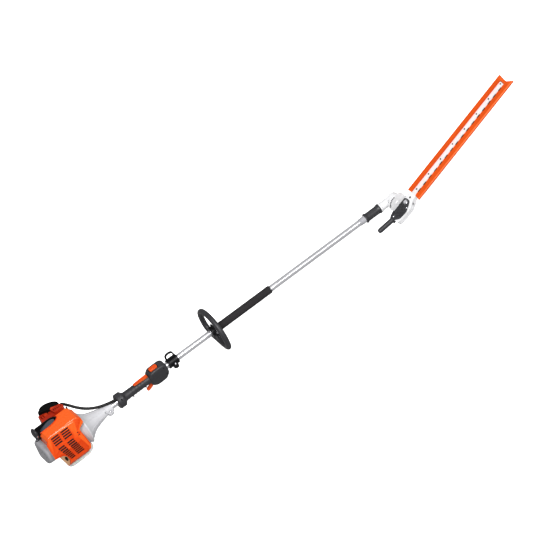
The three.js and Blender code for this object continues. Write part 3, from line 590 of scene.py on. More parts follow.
def corner_cut(low_near, low_far, low_back, outside):
    """Tetrahedron that takes off a corner."""
    return make(
        "corner_cut", [low_near, low_far, low_back, outside], [(0, 1, 2), (0, 1, 3), (1, 2, 3), (0, 2, 3)],
    )


def exhaust_corner(inset):
    """Lower corner behind the exhaust, level with the starter cover's cut corner."""
    low = -60
    shift = -54.5 + inset * math.sqrt(2)
    corner = prism("corner", "y", [
        (-1030, low), (-977 + inset, low), (-980 + inset, -24), (-993 + inset, 27 + inset),
        (-1030, 33 + inset),
    ], -130, 20)
    across = [(-130, 36 + inset), (shift - 36 - inset, 36 + inset), (shift - low, low), (-130, low)]
    return keep_inside(corner, prism("across", "x", across, -1030, -970))


def build_shroud():
    """Orange cover: a hollow shell with slots and a pocket for the plug; the black sheet of painted shade behind
    the slots is built apart.
    """
    inner = [(-86.5, -60), (-94, -22), (-80.5, 33), (-39.5, 107), (33.5, 107), (43.5, 97), (43.5, -60)]
    set_back = [(y + 2.2 if y < 0 else y, z) for y, z in SHROUD_SECTION]
    body = shroud_solid(set_back, SHROUD_SIDE, -1020, -830, 6)
    panel = shroud_solid(SHROUD_SECTION, PANEL_SIDE, -1020, -860, 2.2)
    keep_inside(panel, block("near_part", -1025, -855, -120, 4, -60, 120))
    join(body, panel)
    cut(body, crest_cut())
    inner_side = [
        (-1002.5, -60), (-1002.5, 85), (-987, 107), (-855, 107), (-841, 94), (-841, 74), (-866, 59),
        (-866, -60),
    ]
    hollow = prism("hollow", "x", inner, -1020, -830)
    keep_inside(hollow, prism("inner_side", "y", inner_side, -130, 80))
    cut(hollow, exhaust_corner(2.5), corner_cut(
        (-824, -16.5, 116), (-878.5, 58, 116), (-824, 58, 9.5), (-800, 80, 140),
    ))
    cut(body, corner_cut((-824, -14, 116), (-876, 58, 116), (-824, 58, 12), (-800, 80, 140)))
    bevel(body, 2, 3, 25)
    pocket = rounded(
        [(-1030, 4), (-938, 7), (-906, 20), (-906, 34), (-924, 52), (-1030, 52)], [1, 26, 12, 12, 16, 1], 6,
    )
    cut(
        body,
        exhaust_corner(0),
        hollow,
        prism("flange_room", "x", inner, -1030, -1005),
        block("behind", -1030, -1005, -45, 60, -60, 120),
        block("grip_room", -1030, -993, 7, 60, 60, 120),
        prism("rear_hole", "x", circle(36, sides=48), -1010, -990),
        prism("front_hole", "x", circle(50, sides=64), -880, -830),
        prism("pocket", "z", pocket, 92, 120),
        block("intake", -948, -892, 40, 50, 38, 74),
        *cooling_slots(),
        prism("shield_room", "y", SHIELD_SIDE, -130, -78),
    )
    show(body, "shroud_orange", ["engine_shroud"])


def build_slot_shade_and_shield():
    """Black sheet behind the slots that paints the shade inside the cover, and the pale shield round the exhaust.
    """
    # Painted shade: a black sheet just inside the near wall, so that the cooling slots look dark inside.
    slot_shade = prism("vent_shade_sheet", "x", [
        (-92, -18), (-78.8, 33.5), (-43.5, 97), (-42, 96), (-77.4, 33), (-90.6, -18),
    ], -989, -874)
    cut(slot_shade, exhaust_corner(3.5), block("exhaust_room", -1000, -962, -120, -60, -30, 28))
    show(slot_shade, "black_plastic")
    outline = [(x + (0.4 if x < -978 else -0.4), z) for x, z in rounded(SHIELD_SIDE, 3, 3)]
    shield = loft("exhaust_shield", [
        [(x, wall_y(max(-22, z)) + depth, z) for x, z in outline] for depth in (3.4, 5.6, 7)
    ])
    opening = rounded([(-978, 14), (-969, 9), (-967.5, -8), (-974, -12), (-980, 2)], 3)
    cut(shield, prism("exhaust", "y", opening, -130, -60))
    show(shield, "dark_steel", finish="exhaust_tan")


def build_plug_cover():
    """Glossy cap over the spark plug, rolled down at the rear, in a black frame."""
    sections = []
    for step in range(17):
        t = step / 16
        drop = 30 * (1 - t) ** 2.4
        half = 17 * math.sqrt(max(0.0, 1 - max(0.0, (t - 0.7) / 0.3) ** 2)) + 0.5
        ring = []
        for cosine, sine in turns(24):
            across = math.copysign(abs(cosine) ** 0.7, cosine)
            rise = math.copysign(abs(sine) ** 0.8, sine)
            ring.append((-1003 + 84 * t, 25.5 + half * across, 101 - drop + (9 if rise > 0 else 5) * rise))
        sections.append(ring)
    show(loft("plug_cap", sections), "gloss_blue", ["plug_cover"], smooth=60)
    rim = rounded([
        (-1004, 4.5), (-938, 7.5), (-907, 20.5), (-907, 33.5), (-925, 46.8), (-1004, 46.8),
    ], [1, 26, 12, 12, 16, 1], 6)
    lip = rounded([(-1000, 2), (-938, 5), (-904, 19), (-904, 36), (-1000, 36)], [1, 28, 12, 2, 1], 6)
    lip_hole = rounded([(-1010, 5), (-937, 8), (-907, 20), (-907, 40), (-1010, 40)], [1, 26, 12, 2, 1], 6)
    edge = cut(prism("plug_lip", "z", lip, 109, 112.4), prism("lip_hole", "z", lip_hole, 100, 120))
    show(bevel(edge, 1.2, 3), "shroud_orange")
    well = prism("plug_frame", "z", rim, 88, 108.6)
    inside = rounded([
        (-1010, 8), (-938, 10.5), (-911, 22), (-911, 32), (-927, 43.5), (-1010, 43.5),
    ], [1, 24, 10, 10, 14, 1], 6)
    cut(well, prism("well", "z", inside, 91, 120), block("foot", -1010, -990, 0, 60, 60, 92))
    show(bevel(well, 1, 2), "black_plastic")
    cowl = prism("rear_cowl", "y", rounded(
        [(-1003, 58), (-988, 58), (-988, 92), (-1000, 96), (-1003, 90)], 3,
    ), 7.5, 46)
    show(bevel(cowl, 1.5, 3), "black_plastic")


def between(name, ring, start, end):
    """Straight bar along the tube whose section is a ring of directions."""
    return loft(name, [[Vector((x, 0, 0)) + point for point in ring] for x in (start, end)])


def build_starter():
    """Recoil starter: its round-cornered cover, and the grip with its rope on top."""
    rear, front = -1030, -1005.3
    outline = rounded([
        (-60, 5.5), (-60, 40), (-40, 60), (40, 60), (58, 44), (58, -28), (44, -42), (-12.5, -42),
    ], [14, 16, 16, 14, 12, 12, 12, 12], 7)
    rings = []
    for x, inset in (
        (front, 0), (rear + 13, 0), (rear + 8, 1.2), (rear + 4, 3.2), (rear + 1.2, 6.5), (rear, 10),
    ):
        scale = 1 - inset / 52
        rings.append([(x, y * scale, z * scale) for y, z in outline])
    dish = loft("starter_cover", rings)
    grooves = [
        lathe("groove", "x", [
            (rear - 1, radius), (rear + 1.1, radius + 0.3), (rear + 1.1, radius + 1.7),
            (rear - 1, radius + 2), (rear - 1, radius),
        ], segments=72)
        for radius in (18, 30)
    ]
    slots = []
    for turn in (-60, -40, -20, 0, 110, 130, 150, 170):
        along, across = spoke(turn)
        ring = [along * u + across * v for u, v in rounded(rectangle(33, 46, -1.7, 1.7), 1.6, 3)]
        slots.append(between("slot", ring, rear - 3, rear + 2.2))
    cavity = lathe(
        "cavity", "x", [(rear + 4, 0), (rear + 4, 35), (front + 1, 35), (front + 1, 0)], segments=72,
    )
    cut(dish, cavity, *grooves, *slots)
    show(dish, "grey_plastic", ["starter_housing"])
    guide = lathe("rope_guide", "z", [
        (40, 0), (40, 8), (56, 8), (60, 7), (61.5, 5), (61, 3), (50, 2.8), (48, 0),
    ], (rear + 15, 33), 32)
    show(guide, "black_plastic")
    rings = []
    for step in range(17):
        t = -1 + step / 8
        swell = (1 - abs(t) ** 3.4) ** 0.45 if abs(t) < 1 else 0.02
        section = circle(swell, sides=28)
        rings.append([(rear + 17 + 10 * u, 34 + 22 * t, 93.5 + 26 * v) for u, v in section])
    handle = loft("starter_handle", rings)
    show(handle, "black_plastic", ["starter_grip"], body="grip", finish="grip_plastic", smooth=60)
    eye = lathe(
        "rope_eye", "z", [(60, 2.3), (60, 5), (66, 6), (68, 5.5), (68, 2.3), (60, 2.3)], (rear + 15, 33), 32,
    )
    show(eye, "steel", body="grip")
    knot = lathe("rope_knot", "y", [(10.9, 0), (11, 3), (11.8, 4.4), (14, 5), (14, 0)], (rear + 17, 94), 24)
    show(knot, "steel", body="grip")
    rope = lathe("starter_rope", "z", [(44, 0), (44, 2)] + [
        (44 + 0.6 * step, 2 + 0.2 * math.sin(step * 2.1)) for step in range(1, 36)
    ] + [(65.2, 0)], (rear + 15, 33), 20)
    show(rope, "black_plastic", body="grip", finish="cord")


def build_tank():
    """Tank with a moulded seam, tucked under at the near side, and its fluted cap."""
    rear, front, half, top, bottom = -966, -836, 65, -38, -105
    lean = math.tan(REST_TILT)

    def ring(z, inset):
        corners = rectangle(rear + inset, front - inset, -half + inset, half - inset)
        plan = rounded(corners, [26, 44, 44, 26], 10)
        tuck = 1 - 0.42 * max(0, (-72 - z) / 33) ** 1.5
        slope = lean if z < -80 else 0
        return [(x, y * tuck if y < 0 else y, z + (x - (rear + front) / 2) * slope) for x, y in plan]

    levels = [(bottom, 17), (bottom + 1.2, 11), (bottom + 4.5, 5.5), (bottom + 10, 1.6), (bottom + 18, 0)]
    levels += [(-77.5, 0), (-76.5, 0), (-75.5, -1.6), (-73.5, -1.6), (-72.5, 0), (-60, 0)]
    levels += [(-46, 1.6), (-42, 5), (-39, 10), (top, 16)]
    tank = loft("tank_shell", [ring(z, inset + 1.7) for z, inset in levels])
    join(tank, lathe(
        "neck", "y", [(half - 12, 0), (half - 12, 19), (half + 4, 19), (half + 4, 0)], (-870, -74), 48,
    ))
    show(tank, "tank_plastic", ["fuel_tank"], smooth=45)
    fluted = []
    for z, radius in ((0.3, 21), (3, 21.2), (13, 20.2), (14.5, 19)):
        ring = []
        for corner, (cosine, sine) in enumerate(turns(96)):
            reach = radius + (0.8 if corner % 6 < 3 and radius > 20 else 0)
            ring.append((-870 + reach * cosine, half + 4 + z, -74 + reach * sine))
        fluted.append(ring)
    cap = loft("fuel_cap_knob", fluted)
    join(cap, prism("bar", "y", rounded(rectangle(-887, -853, -78, -70), 3), half + 14, half + 17.7))
    show(bevel(cap, 0.6, 2, 40), "black_plastic", ["fuel_cap"], body="cap")


def build_air_filter():
    """Base in two steps with louvres in its top; the cover's parting line runs slantwise."""
    rear, front, near, low, top = -961, -846, 47, 24, 118
    plan = rounded([
        (rear, near), (front - 4, near), (-860, 70), (-872, 72), (-896, 81.5), (-905, 74.5), (-911, 77.5),
        (-931, 87.5), (-956, 93),
    ], [10, 12, 1, 1, 1, 2, 1, 1, 1], 5)
    base = prism("filter_base", "z", plan, low, top - 2)
    step = rounded([(rear - 5, near - 5), (-898, near - 5), (-905, 76), (-908, 120), (rear - 5, 120)], 2)
    cut(base, prism("step", "z", step, top - 13, top + 5))
    bevel(base, 3, 3)
    louvres = []
    for x in (-896, -888, -880, -872, -864):
        outline = rounded(rectangle(x, x + 4, 55, 69 - 0.2 * (x + 900)), 1.6, 3)
        louvres.append(prism("louvre", "z", outline, top - 8, top + 5))
    gills = [
        prism("gill", "z", rounded(rectangle(x, x + 5, 66, 84), 2, 3), top - 19, top + 5)
        for x in (-952, -942, -920)
    ]
    room = prism("room", "y", rounded(rectangle(rear + 5, front - 5, low + 5, top - 24), 6), near - 5, 110)
    primer_room = circle(12, (-870, 70))
    cut(base, room, *louvres, *gills, prism("primer_room", "z", primer_room, low - 2, low + 8))
    show(base, "filter_orange", ["air_filter_base"])
    parting = [(-861, 70.5), (-872, 72.5), (-896, 82), (-905, 75), (-911, 78), (-931, 88), (-950, 93)]
    outline = rounded(parting + [
        (-949, 97), (-928, 115), (-904, 117), (-873, 102), (-861, 86),
    ], [1, 1, 2, 2, 2, 1, 2, 4, 9, 12, 10, 6], 5)
    cover = prism("filter_cover", "z", outline, low, top)
    bevel(cover, 3.5, 4, 35)
    inner = prism("inner", "z", [
        (-951, 93), (-866, 76), (-866, 84), (-877, 97), (-905, 110), (-932, 108),
    ], low + 6, top - 22)
    mouth = prism("mouth", "z", [(-951, 88), (-866, 66), (-866, 78), (-951, 100)], low + 6, top - 24)
    grooves = [
        prism("groove", "x", rounded(rectangle(112.6, 120, z, z + 4), 1, 3), -930, -908)
        for z in range(44, 93, 12)
    ]
    cut(cover, inner, mouth, prism("primer_room", "z", primer_room, low - 2, low + 9), *grooves)
    show(cover, "black_plastic", ["air_filter_cover"], body="filter_cover", finish="matt_black")
    pleats = [(-944 + 3.2 * step, 93.7 if step % 2 else 92.5) for step in range(17)]
    media = prism("filter_element", "z", pleats + [(-893, 98), (-906, 105), (-930, 104)], low + 9, top - 26)
    show(media, "filter_media", ["air_filter_element"])


def build_clutch_housing():
    """Cone from the engine to the tube, with ribs and a split boss that clamps the tube."""
    front = -837.7
    bell = lathe("clutch_bell", "x", [
        (-861, 48), (-861, 54.5), (front - 1, 68.5), (front + 1.5, 71), (front + 5, 71), (front + 8, 68.5),
        (-824, 61), (-815, 52), (-805, 44.5), (-794, 39), (-780, 34), (-762, 29), (-742, 24.6), (-729, 22),
        (-727.5, 20.5), (-726, 20.5), (-724.5, 21.5), (-700, 20.5), (-694, 19.8), (-693, 18.8), (-693, 13.1),
        (-735, 13.1), (-735, 19), (-800, 33), (-834, 48), (-861, 48),
    ], segments=96)
    keep_inside(bell, block("flat", -870, -690, -80, 80, -44.6, 90))
    cut(
        bell,
        block("under_shroud", -870, -838, -80, 80, 56, 90),
        block("far_side", -870, -838, 44, 90, -60, 90),
    )
    boss = prism("boss", "z", rounded(
        [(-723, -12), (-699, -12), (-699, -25), (-705, -31), (-717, -31), (-723, -25)], 5,
    ), -14, 0.5)
    join(bell, bevel(boss, 1.5, 3))
    cut(
        bell,
        block("split", -731, -690, -34, -12, -8.2, -5.8),
        prism("bore", "x", circle(13.1, sides=64), -735, -690),
        prism("screw_hole", "z", circle(4.6, (-711, -24)), -1.5, 5),
        prism("slot_mark", "y", rounded([(-733, 2), (-728, 2), (-728, 14), (-733, 14)], 1), -30, -14),
    )
    show(bell, "light_grey", ["clutch_housing"])
    for index, turn in enumerate((35, 80, 125, 172, 215)):
        along, across = spoke(turn)
        spine = [(-833, 66), (-820, 58.5), (-806, 47.5), (-792, 40), (-776, 34.6), (-757, 29.2), (-743, 25.6)]
        under = [(x - 1, radius - 6) for x, radius in reversed(spine)]
        outline = [Vector((x, 0, 0)) + along * radius for x, radius in spine + under]
        rib = loft(f"bell_rib_{index + 1}", [
            [point + across * side for point in outline] for side in (-1.3, 1.3)
        ])
        show(bevel(rib, 0.8, 2, 40), "light_grey")
    show(socket_screw("clamp_screw", (-711, -24), 0.4, 4.4), "steel")


def build_cable():
    """Throttle cable from the air filter to the control handle."""
    cable = sweep("cable_sheath", [
        (-862, 80, 92), (-846, 80, 91), (-830, 74, 76), (-806, 54, 55), (-782, 37, 40), (-755, 21, 31),
        (-727, 8, 27), (-700, -1, 25), (-682, -4, 23), (-668, -4, 21), (-656, -4, 21),
    ], 5.8)
    show(cable, "black_rubber", ["throttle_cable"])
    gland = lathe("cable_gland", "x", [
        (-862, 4), (-862, 8.5), (-850, 8.5), (-847, 7.6), (-843, 6.4), (-843, 4),
    ], (80.5, 92), 32)
    show(gland, "black_rubber")


# ---------------------------------------------------------------- drive tube and grips
def build_tube():
    """Drive tube, and the grey sleeve where the head plugs in."""
    tube = lathe("tube", "x", [
        (-733, 11.2), (-733, 12.4), (-732.7, 12.7), (689.7, 12.7), (690, 12.4), (690, 11.2), (-733, 11.2),
    ], segments=96)
    show(tube, "tube_aluminium", ["drive_tube"])
    adapter = lathe("adapter", "x", [
        (552, 13.2), (552, 13.9), (552.6, 14.4), (556, 14.4), (557, 13.8), (560, 13.8), (561, 14.4),
        (640, 14.4), (640, 13.2), (552, 13.2),
    ], segments=64)
    show(adapter, "grey_plastic", ["tube_adapter"])


def tube_bore(start, end):
    """Hole that the drive tube passes through."""
    return prism("bore", "x", circle(13.2, sides=64), start, end)


def handle_solid():
    """Whole control handle: a flanged, waved barrel and a deep head with its wells."""
    rear, flange_end, start, end, front = -665, -634, -624, -508, -421
    waves = []
    for step in range(31):
        x = start + 14 + (end - start - 28) * step / 30
        waves.append((x, 18.8 - 1.1 * abs(math.sin(math.pi * step / 5)) ** 0.7 + (0.2 if step % 2 else 0)))
    barrel = lathe("handle", "x", [
        (rear, 0), (rear, 27), (rear + 1, 29.5), (rear + 4, 31.6), (rear + 6, 32), (flange_end - 6, 32),
        (flange_end - 3, 31), (flange_end, 27), (-629, 21), (start, 18.4), *waves, (end - 6, 19),
        (end + 8, 19), (end + 8, 0),
    ], segments=72)
    side = rounded([
        (end, 16), (end + 14, 35), (front - 14, 36), (front, 24), (front, -20), (front - 18, -40),
        (end + 24, -41), (end + 4, -28), (end, -17),
    ], [6, 12, 12, 8, 9, 12, 9, 6, 4], 6)
    head = prism("handle_head", "y", side, -23, 23)
    bevel(head, 8.5, 6)
    join(barrel, head)
    lock_slot = prism("lock_slot", "z", rounded(rectangle(-577, -505, -7.4, 7.4), 3), 14.3, 45)
    button_well = prism("button_well", "z", rounded(rectangle(-493, -451, -12.5, 12.5), 9), 27, 50)
    return cut(
        barrel,
        tube_bore(rear - 1, front + 1),
        block("trigger_pocket", -514, -484, -8.5, 8.5, -50, -16.5),
        lock_slot,
        button_well,
        block("cable_entry", rear - 1, rear + 24, -9, 1, 12, 26),
    )


def build_handle():
    """Two halves screwed together, with the trigger, the lock and the stop button."""
    for label, side in (("near", -1), ("far", 1)):
        low, high = (-60, -0.25) if side < 0 else (0.25, 60)
        half = handle_solid()
        half.name = f"handle_{label}"
        keep_inside(half, block("half", -700, -400, low, high, -60, 60))
        screws = [(-649, 20), (-649, -22), (-596, -13.4), (-533, -13.4), (-438, 20), (-434, -14), (-470, -31)]
        if side < 0:
            cut(half, *[prism("well", "y", circle(3.4, place, 24), -60, -12) for place in screws])
        show(half, "grip_plastic", [f"handle_half_{label}"], smooth=40)
        if side < 0:
            for index, place in enumerate(screws):
                screw = lathe(f"handle_screw_{index + 1}", "y", [
                    (-12.5, 0), (-16, 0), (-16, 1.5), (-17.2, 1.6), (-17.2, 2.6), (-16.6, 3), (-12.5, 3),
                ], place, 24)
                show(screw, "steel")
    lever = prism("trigger", "y", rounded([
        (-491, -19), (-502, -18), (-508, -30), (-520, -38), (-529, -42), (-531, -48), (-522, -48),
        (-506, -40), (-493, -31),
    ], [3, 4, 7, 7, 3, 3, 5, 9, 5], 5), -7.5, 7.5)
    show(bevel(lever, 2.4, 4), "control_orange", ["throttle_trigger"], body="trigger")
    lock = prism("lock", "y", rounded(
        [(-574, 20.4), (-508, 16.5), (-508, 26), (-538, 25), (-574, 22.5)], [1, 1, 3, 20, 3], 5,
    ), -6.9, 6.9)
    bevel(lock, 1.6, 3)
    cut(lock, *[block("rib", x, x + 1.5, -5, 5, 23.4, 30) for x in (-566, -562, -558, -554, -550)])
    show(lock, "control_orange", ["throttle_lock"], body="lock")
    button = prism("button", "z", rounded(rectangle(-490.5, -453.5, -10.5, 10.5), 9), 30.5, 39.5)
    bevel(button, 2.2, 4)
    dish = lathe("dish", "z", [(38.6, 0), (39.1, 5), (40.5, 8), (45, 8), (45, 0)], (-463, 0), 48)
    ridge = block("ridge_cut", -480.5, -479, -7, 7, 38.9, 45)
    show(cut(button, dish, ridge), "control_orange", ["stop_button"], body="button")


def build_carry_ring():
    """Clamp with the eye that a harness hooks into, and its screw."""
    rear, front = -411, -363
    ring = lathe("ring", "x", [
        (rear, 0), (rear, 18), (rear + 1.5, 19.5), (rear + 6, 19.5), (rear + 8, 18.6), (front - 8, 18.6),
        (front - 6, 19.5), (front - 1.5, 19.5), (front, 18), (front, 0),
    ], segments=72)
    eyelet = prism("eyelet", "y", rounded(
        [(-410, 12), (-364, 12), (-372, 48), (-383, 54), (-401, 54), (-410, 45)], [2, 2, 6, 8, 8, 6],
    ), -3.8, 3.8)
    bevel(eyelet, 1.2, 3)
    lug = bevel(prism("lug", "z", rounded(
        [(-398, -12), (-376, -12), (-376, -29), (-382, -35), (-392, -35), (-398, -29)], 4,
    ), -13, 4), 1, 2)
    join(ring, eyelet, lug)
    cut(
        ring,
        prism("eye", "y", rounded(
            [(-404, 25), (-373, 25), (-378, 44), (-385, 48), (-399, 48), (-404, 42)], [2, 4, 4, 5, 5, 4],
        ), -6, 6),
        tube_bore(rear - 1, front + 1),
        block("split", rear - 1, front + 1, -36, -8, -6.5, -4),
        prism("hole", "z", circle(2.8, (-387, -27), 24), -14, 5),
    )
    show(ring, "black_plastic", ["carry_ring"])
    screw = socket_screw("ring_screw", (-387, -27), 4.2, 4.6)
    join(screw, prism("shank", "z", circle(2.4, (-387, -27), 24), -12.5, 5))
    show(screw, "steel", ["carry_ring_screw"])


def loop_ring(tube_angle, radius, sides):
    """Ring of points along the loop's D-shaped centre line, at one angle round its section."""
    middle, half, top, bottom, x = 5, 103, 101, -67, -177
    ring = []
    for across, along in turns(sides):
        power = 0.62 if along < 0 else 1
        height = middle - bottom if along < 0 else top - middle
        offset = radius * (1 - math.cos(tube_angle))
        reach = half - offset
        rise = height - offset
        ring.append((
            x + radius * math.sin(tube_angle),
            reach * math.copysign(abs(across) ** power, across),
            middle + rise * math.copysign(abs(along) ** power, along),
        ))
    return ring


def clamp_half(name, ear_low, ear_high):
    """Ring round the tube with an ear for the clamp's bolt, before it is cut to a half."""
    half = lathe(
        name, "x", [(-195, 0), (-195, 21), (-194, 22), (-160, 22), (-159, 21), (-159, 0)], segments=64,
    )
    return join(half, bevel(block("ear", -189, -165, -36, 0, ear_low, ear_high), 1, 2))


def build_loop():
    """D-shaped loop handle on its saddle, with the cap and the bolt that clamp it."""
    radius, sides, around = 11.0, 144, 24
    rings = [loop_ring(2 * math.pi * step / around, radius, sides) for step in range(around)]
    points = [point for ring in rings for point in ring]
    faces = []
    for first in range(around):
        second = (first + 1) % around
        for step in range(sides):
            after = (step + 1) % sides
            a, b = first * sides, second * sides
            faces.append([a + step, a + after, b + after, b + step])
    loop = make("loop", points, faces)
    web = prism("web", "x", rounded([(-32, -57), (32, -57), (21, -6), (-21, -6)], 5), -184, -170)
    bevel(web, 2, 3)
    saddle = clamp_half("saddle", -9, -0.5)
    keep_inside(saddle, block("below", -207, -147, -40, 40, -40, -0.3))
    join(loop, web, saddle)
    cut(loop, tube_bore(-207, -147), prism("hole", "z", circle(3, (-177, -29), 24), -12, 2))
    show(loop, "grip_plastic", ["loop_handle"], smooth=45)
    cap = clamp_half("loop_cap", 0.5, 8)
    join(cap, bevel(block("rib", -181, -173, -18, 18, 12, 23), 1.5, 2))
    keep_inside(cap, block("above", -207, -147, -40, 40, 0.3, 40))
    cut(cap, tube_bore(-207, -147), prism("hole", "z", circle(3, (-177, -29), 24), -1, 10))
    show(cap, "black_plastic", ["loop_clamp"])
    bolt = prism("bolt", "z", circle(5.5, (-177, -29), 6), 8.3, 12.6)
    bevel(bolt, 0.6, 2, 40)
    join(
        bolt,
        prism("shank", "z", circle(2.7, (-177, -29), 24), -14, 9),
        prism("washer", "z", circle(6.4, (-177, -29), 32), 8.05, 9),
    )
    show(bolt, "steel", ["loop_bolt"])


def build_foam_and_sleeve():
    """Foam grip with an uneven skin, and the fluted lock sleeve at the head."""
    rear, front, radius = -158.6, 102, 16.3
    profile = [(rear, 13.2), (rear, radius - 1.4), (rear + 0.6, radius - 0.4)]
    for step in range(61):
        x = rear + 2 + (front - rear - 4) * step / 60
        profile.append((x, radius + 0.12 * math.sin(step * 1.9) + 0.1 * math.sin(step * 0.7)))
    profile += [(front - 0.6, radius - 0.4), (front, radius - 1.4), (front, 13.2), (rear, 13.2)]
    show(lathe("foam", "x", profile, segments=72), "foam", ["foam_sleeve"])
    rear, front, body, flare = 578, 651, 17.4, 20.5
    rim = [(0, flare - 2), (0.8, flare - 0.6), (2.5, flare), (5, flare - 0.2), (8, flare - 1.6)]
    rim += [(11, body + 0.8), (14, body)]
    profile = [(rear, 14.6)] + [(rear + inward, size) for inward, size in rim]
    profile += [(front - inward, size) for inward, size in reversed(rim)] + [(front, 14.6), (rear, 14.6)]
    sleeve = lathe("sleeve", "x", profile, segments=96)
    flutes = []
    for index in range(14):
        along, across = spoke(360 * index / 14)
        ring = [along * (18.1 + u) + across * v for u, v in circle(1.5, (0, 0), 12)]
        flutes.append(between("flute", ring, rear + 17, front - 17))
    cut(sleeve, *flutes)
    show(sleeve, "black_plastic", ["lock_sleeve"], body="sleeve", finish="grip_plastic")


def build_joint_housing():
    """Socket on the tube's end, with the round ear that the head tilts on."""
    start, end, pivot = 651.3, 689, 719
    neck = lathe("joint", "x", [
        (start, 0), (start, 19.4), (start + 0.6, 20), (start + 5, 20), (start + 8, 17), (end, 17), (end, 0),
    ], segments=72)
    ear = lathe("ear", "y", [
        (-7.7, 0), (-7.7, 23), (-6.7, 24), (5, 24), (9, 22.5), (12, 18), (13, 13), (13, 0),
    ], (pivot, 0), 72)
    bridge = bevel(block("bridge", 684, pivot, -7.7, 12, -17, 17), 2.5, 3)
    join(neck, ear, bridge)
    cut(
        neck,
        prism("bore", "x", circle(13.2, sides=48), start - 1, 690.3),
        lathe("gear_room", "x", [(688, 0), (688, 10), (pivot - 6, 10), (pivot - 6, 0)], segments=40),
        prism("cross_bore", "y", circle(15, (pivot, 0), 48), -9, 10),
    )
    show(neck, "light_grey", ["joint_housing"], finish="head_white")
    cover = lathe("pivot_cap", "y", [
        (13.2, 0), (13.2, 12), (14.6, 12), (15.4, 11), (15.4, 4), (14.6, 3.5), (14.6, 0),
    ], (pivot, 0), 48)
    show(cover, "steel")


# ---------------------------------------------------------------- tilting head
BLADE_Y = -54
TOOTH_PITCH = 34
TOOTH = [(-1, 13), (1.5, 16), (5.4, 33.4), (6.4, 34), (10, 34), (11, 33.2), (15.5, 16), (18, 13)]
CASE_PLAN = [
    (-63, -84), (-50, -92), (18, -92), (46, -76), (66, -73), (66, -37), (42, -30), (22, -17.5), (-18, -17.5),
    (-26, -25.5), (-58, -31), (-63, -36),
]
CASE_SIDE = [(-63, -40), (40, -40), (66, -31), (66, -17), (-63, -17)]


def head_block(name, x0, x1, y0, y1, z0, z1):
    return block(name, x0, x1, y0, y1, z0, z1, HEAD)


def head_case(low, high):
    """Layer of the gear case between two heights, hollow for the gears and the blades."""
    case = prism("case", "z", rounded(CASE_PLAN, [7, 9, 12, 8, 5, 5, 8, 8, 8, 4, 6, 5], 6), -40, -17.3, HEAD)
    keep_inside(case, prism("case_side", "y", CASE_SIDE, -100, 0, HEAD))
    bevel(case, 2.2, 3)
    keep_inside(case, head_block("layer", -80, 80, -100, 0, low, high))
    return cut(
        case,
        head_block("gears", -38, 38, -84, -30, -38, -19.5),
        head_block("gears_far", -12, 12, -32, -20, -38, -19.5),
        head_block("mouth", 20, 67, BLADE_Y - 14.5, BLADE_Y + 14.5, -28, -19),
    )


def build_gear_case():
    """Upper and lower case, and the quadrant with the stops that hold the tilt."""
    upper = head_case(-24.7, 0)
    knuckle = lathe(
        "knuckle", "y", [(-28, 0), (-28, 26.5), (-26.5, 28), (-9, 28), (-8, 27), (-8, 0)], (0, 0), 96, HEAD,
    )
    keep_inside(knuckle, head_block("knuckle_part", -40, 40, -30, 0, -24.7, 40))
    join(upper, knuckle)
    cut(
        upper,
        prism("bolt_hole", "z", circle(3.3, (21, BLADE_Y), 24), -30, -10, HEAD),
        prism("gear_well", "y", circle(22, (0, 0), 64), -27, -19, HEAD),
        prism("shaft_bore", "y", circle(5.4, (0, 0), 32), -30, -7, HEAD),
    )
    show(upper, "light_grey", ["gear_case_upper"], body="head", finish="head_white")
    lower = head_case(-41, -25)
    fins = [head_block("fin", -40 + 9 * step, -37 + 9 * step, -97, -89.6, -38, -27) for step in range(7)]
    cut(lower, *fins)
    show(lower, "light_grey", ["gear_case_lower"], body="head", finish="head_white")
    disc = prism("quadrant", "y", circle(39.5, (0, 0), 128), -36, -28.3, HEAD)
    keep_inside(disc, head_block("upper_part", -40, 40, -40, -20, -13.7, 40))
    bevel(disc, 1.2, 3)
    stop_radius = 34.6
    angles = [math.radians(80 + 12 * step) for step in range(7)]
    stops = [
        circle(3, (stop_radius * math.cos(angle), stop_radius * math.sin(angle)), 24) for angle in angles
    ]
    holes = [prism("hole", "y", stop, -40, -25, HEAD) for stop in stops]
    plugs = [prism("stop_holes", "y", stop, -36.1, -28.4, HEAD) for stop in stops]
    show(merged(plugs), "black_plastic", body="head")
    cut(disc, *holes, prism("hub_groove", "y", circle(15, (0, 0), 64), -36.1, -35.2, HEAD))
    show(disc, "light_grey", ["quadrant"], body="head", finish="head_white")
    hub = lathe("pivot_hub", "y", [
        (-35.2, 0), (-35.2, 9), (-36.6, 9), (-37.4, 8.2), (-37.4, 3.2), (-36.2, 3), (-36.2, 0),
    ], (0, 0), 48, HEAD)
    show(hub, "light_grey", body="head", finish="head_white")


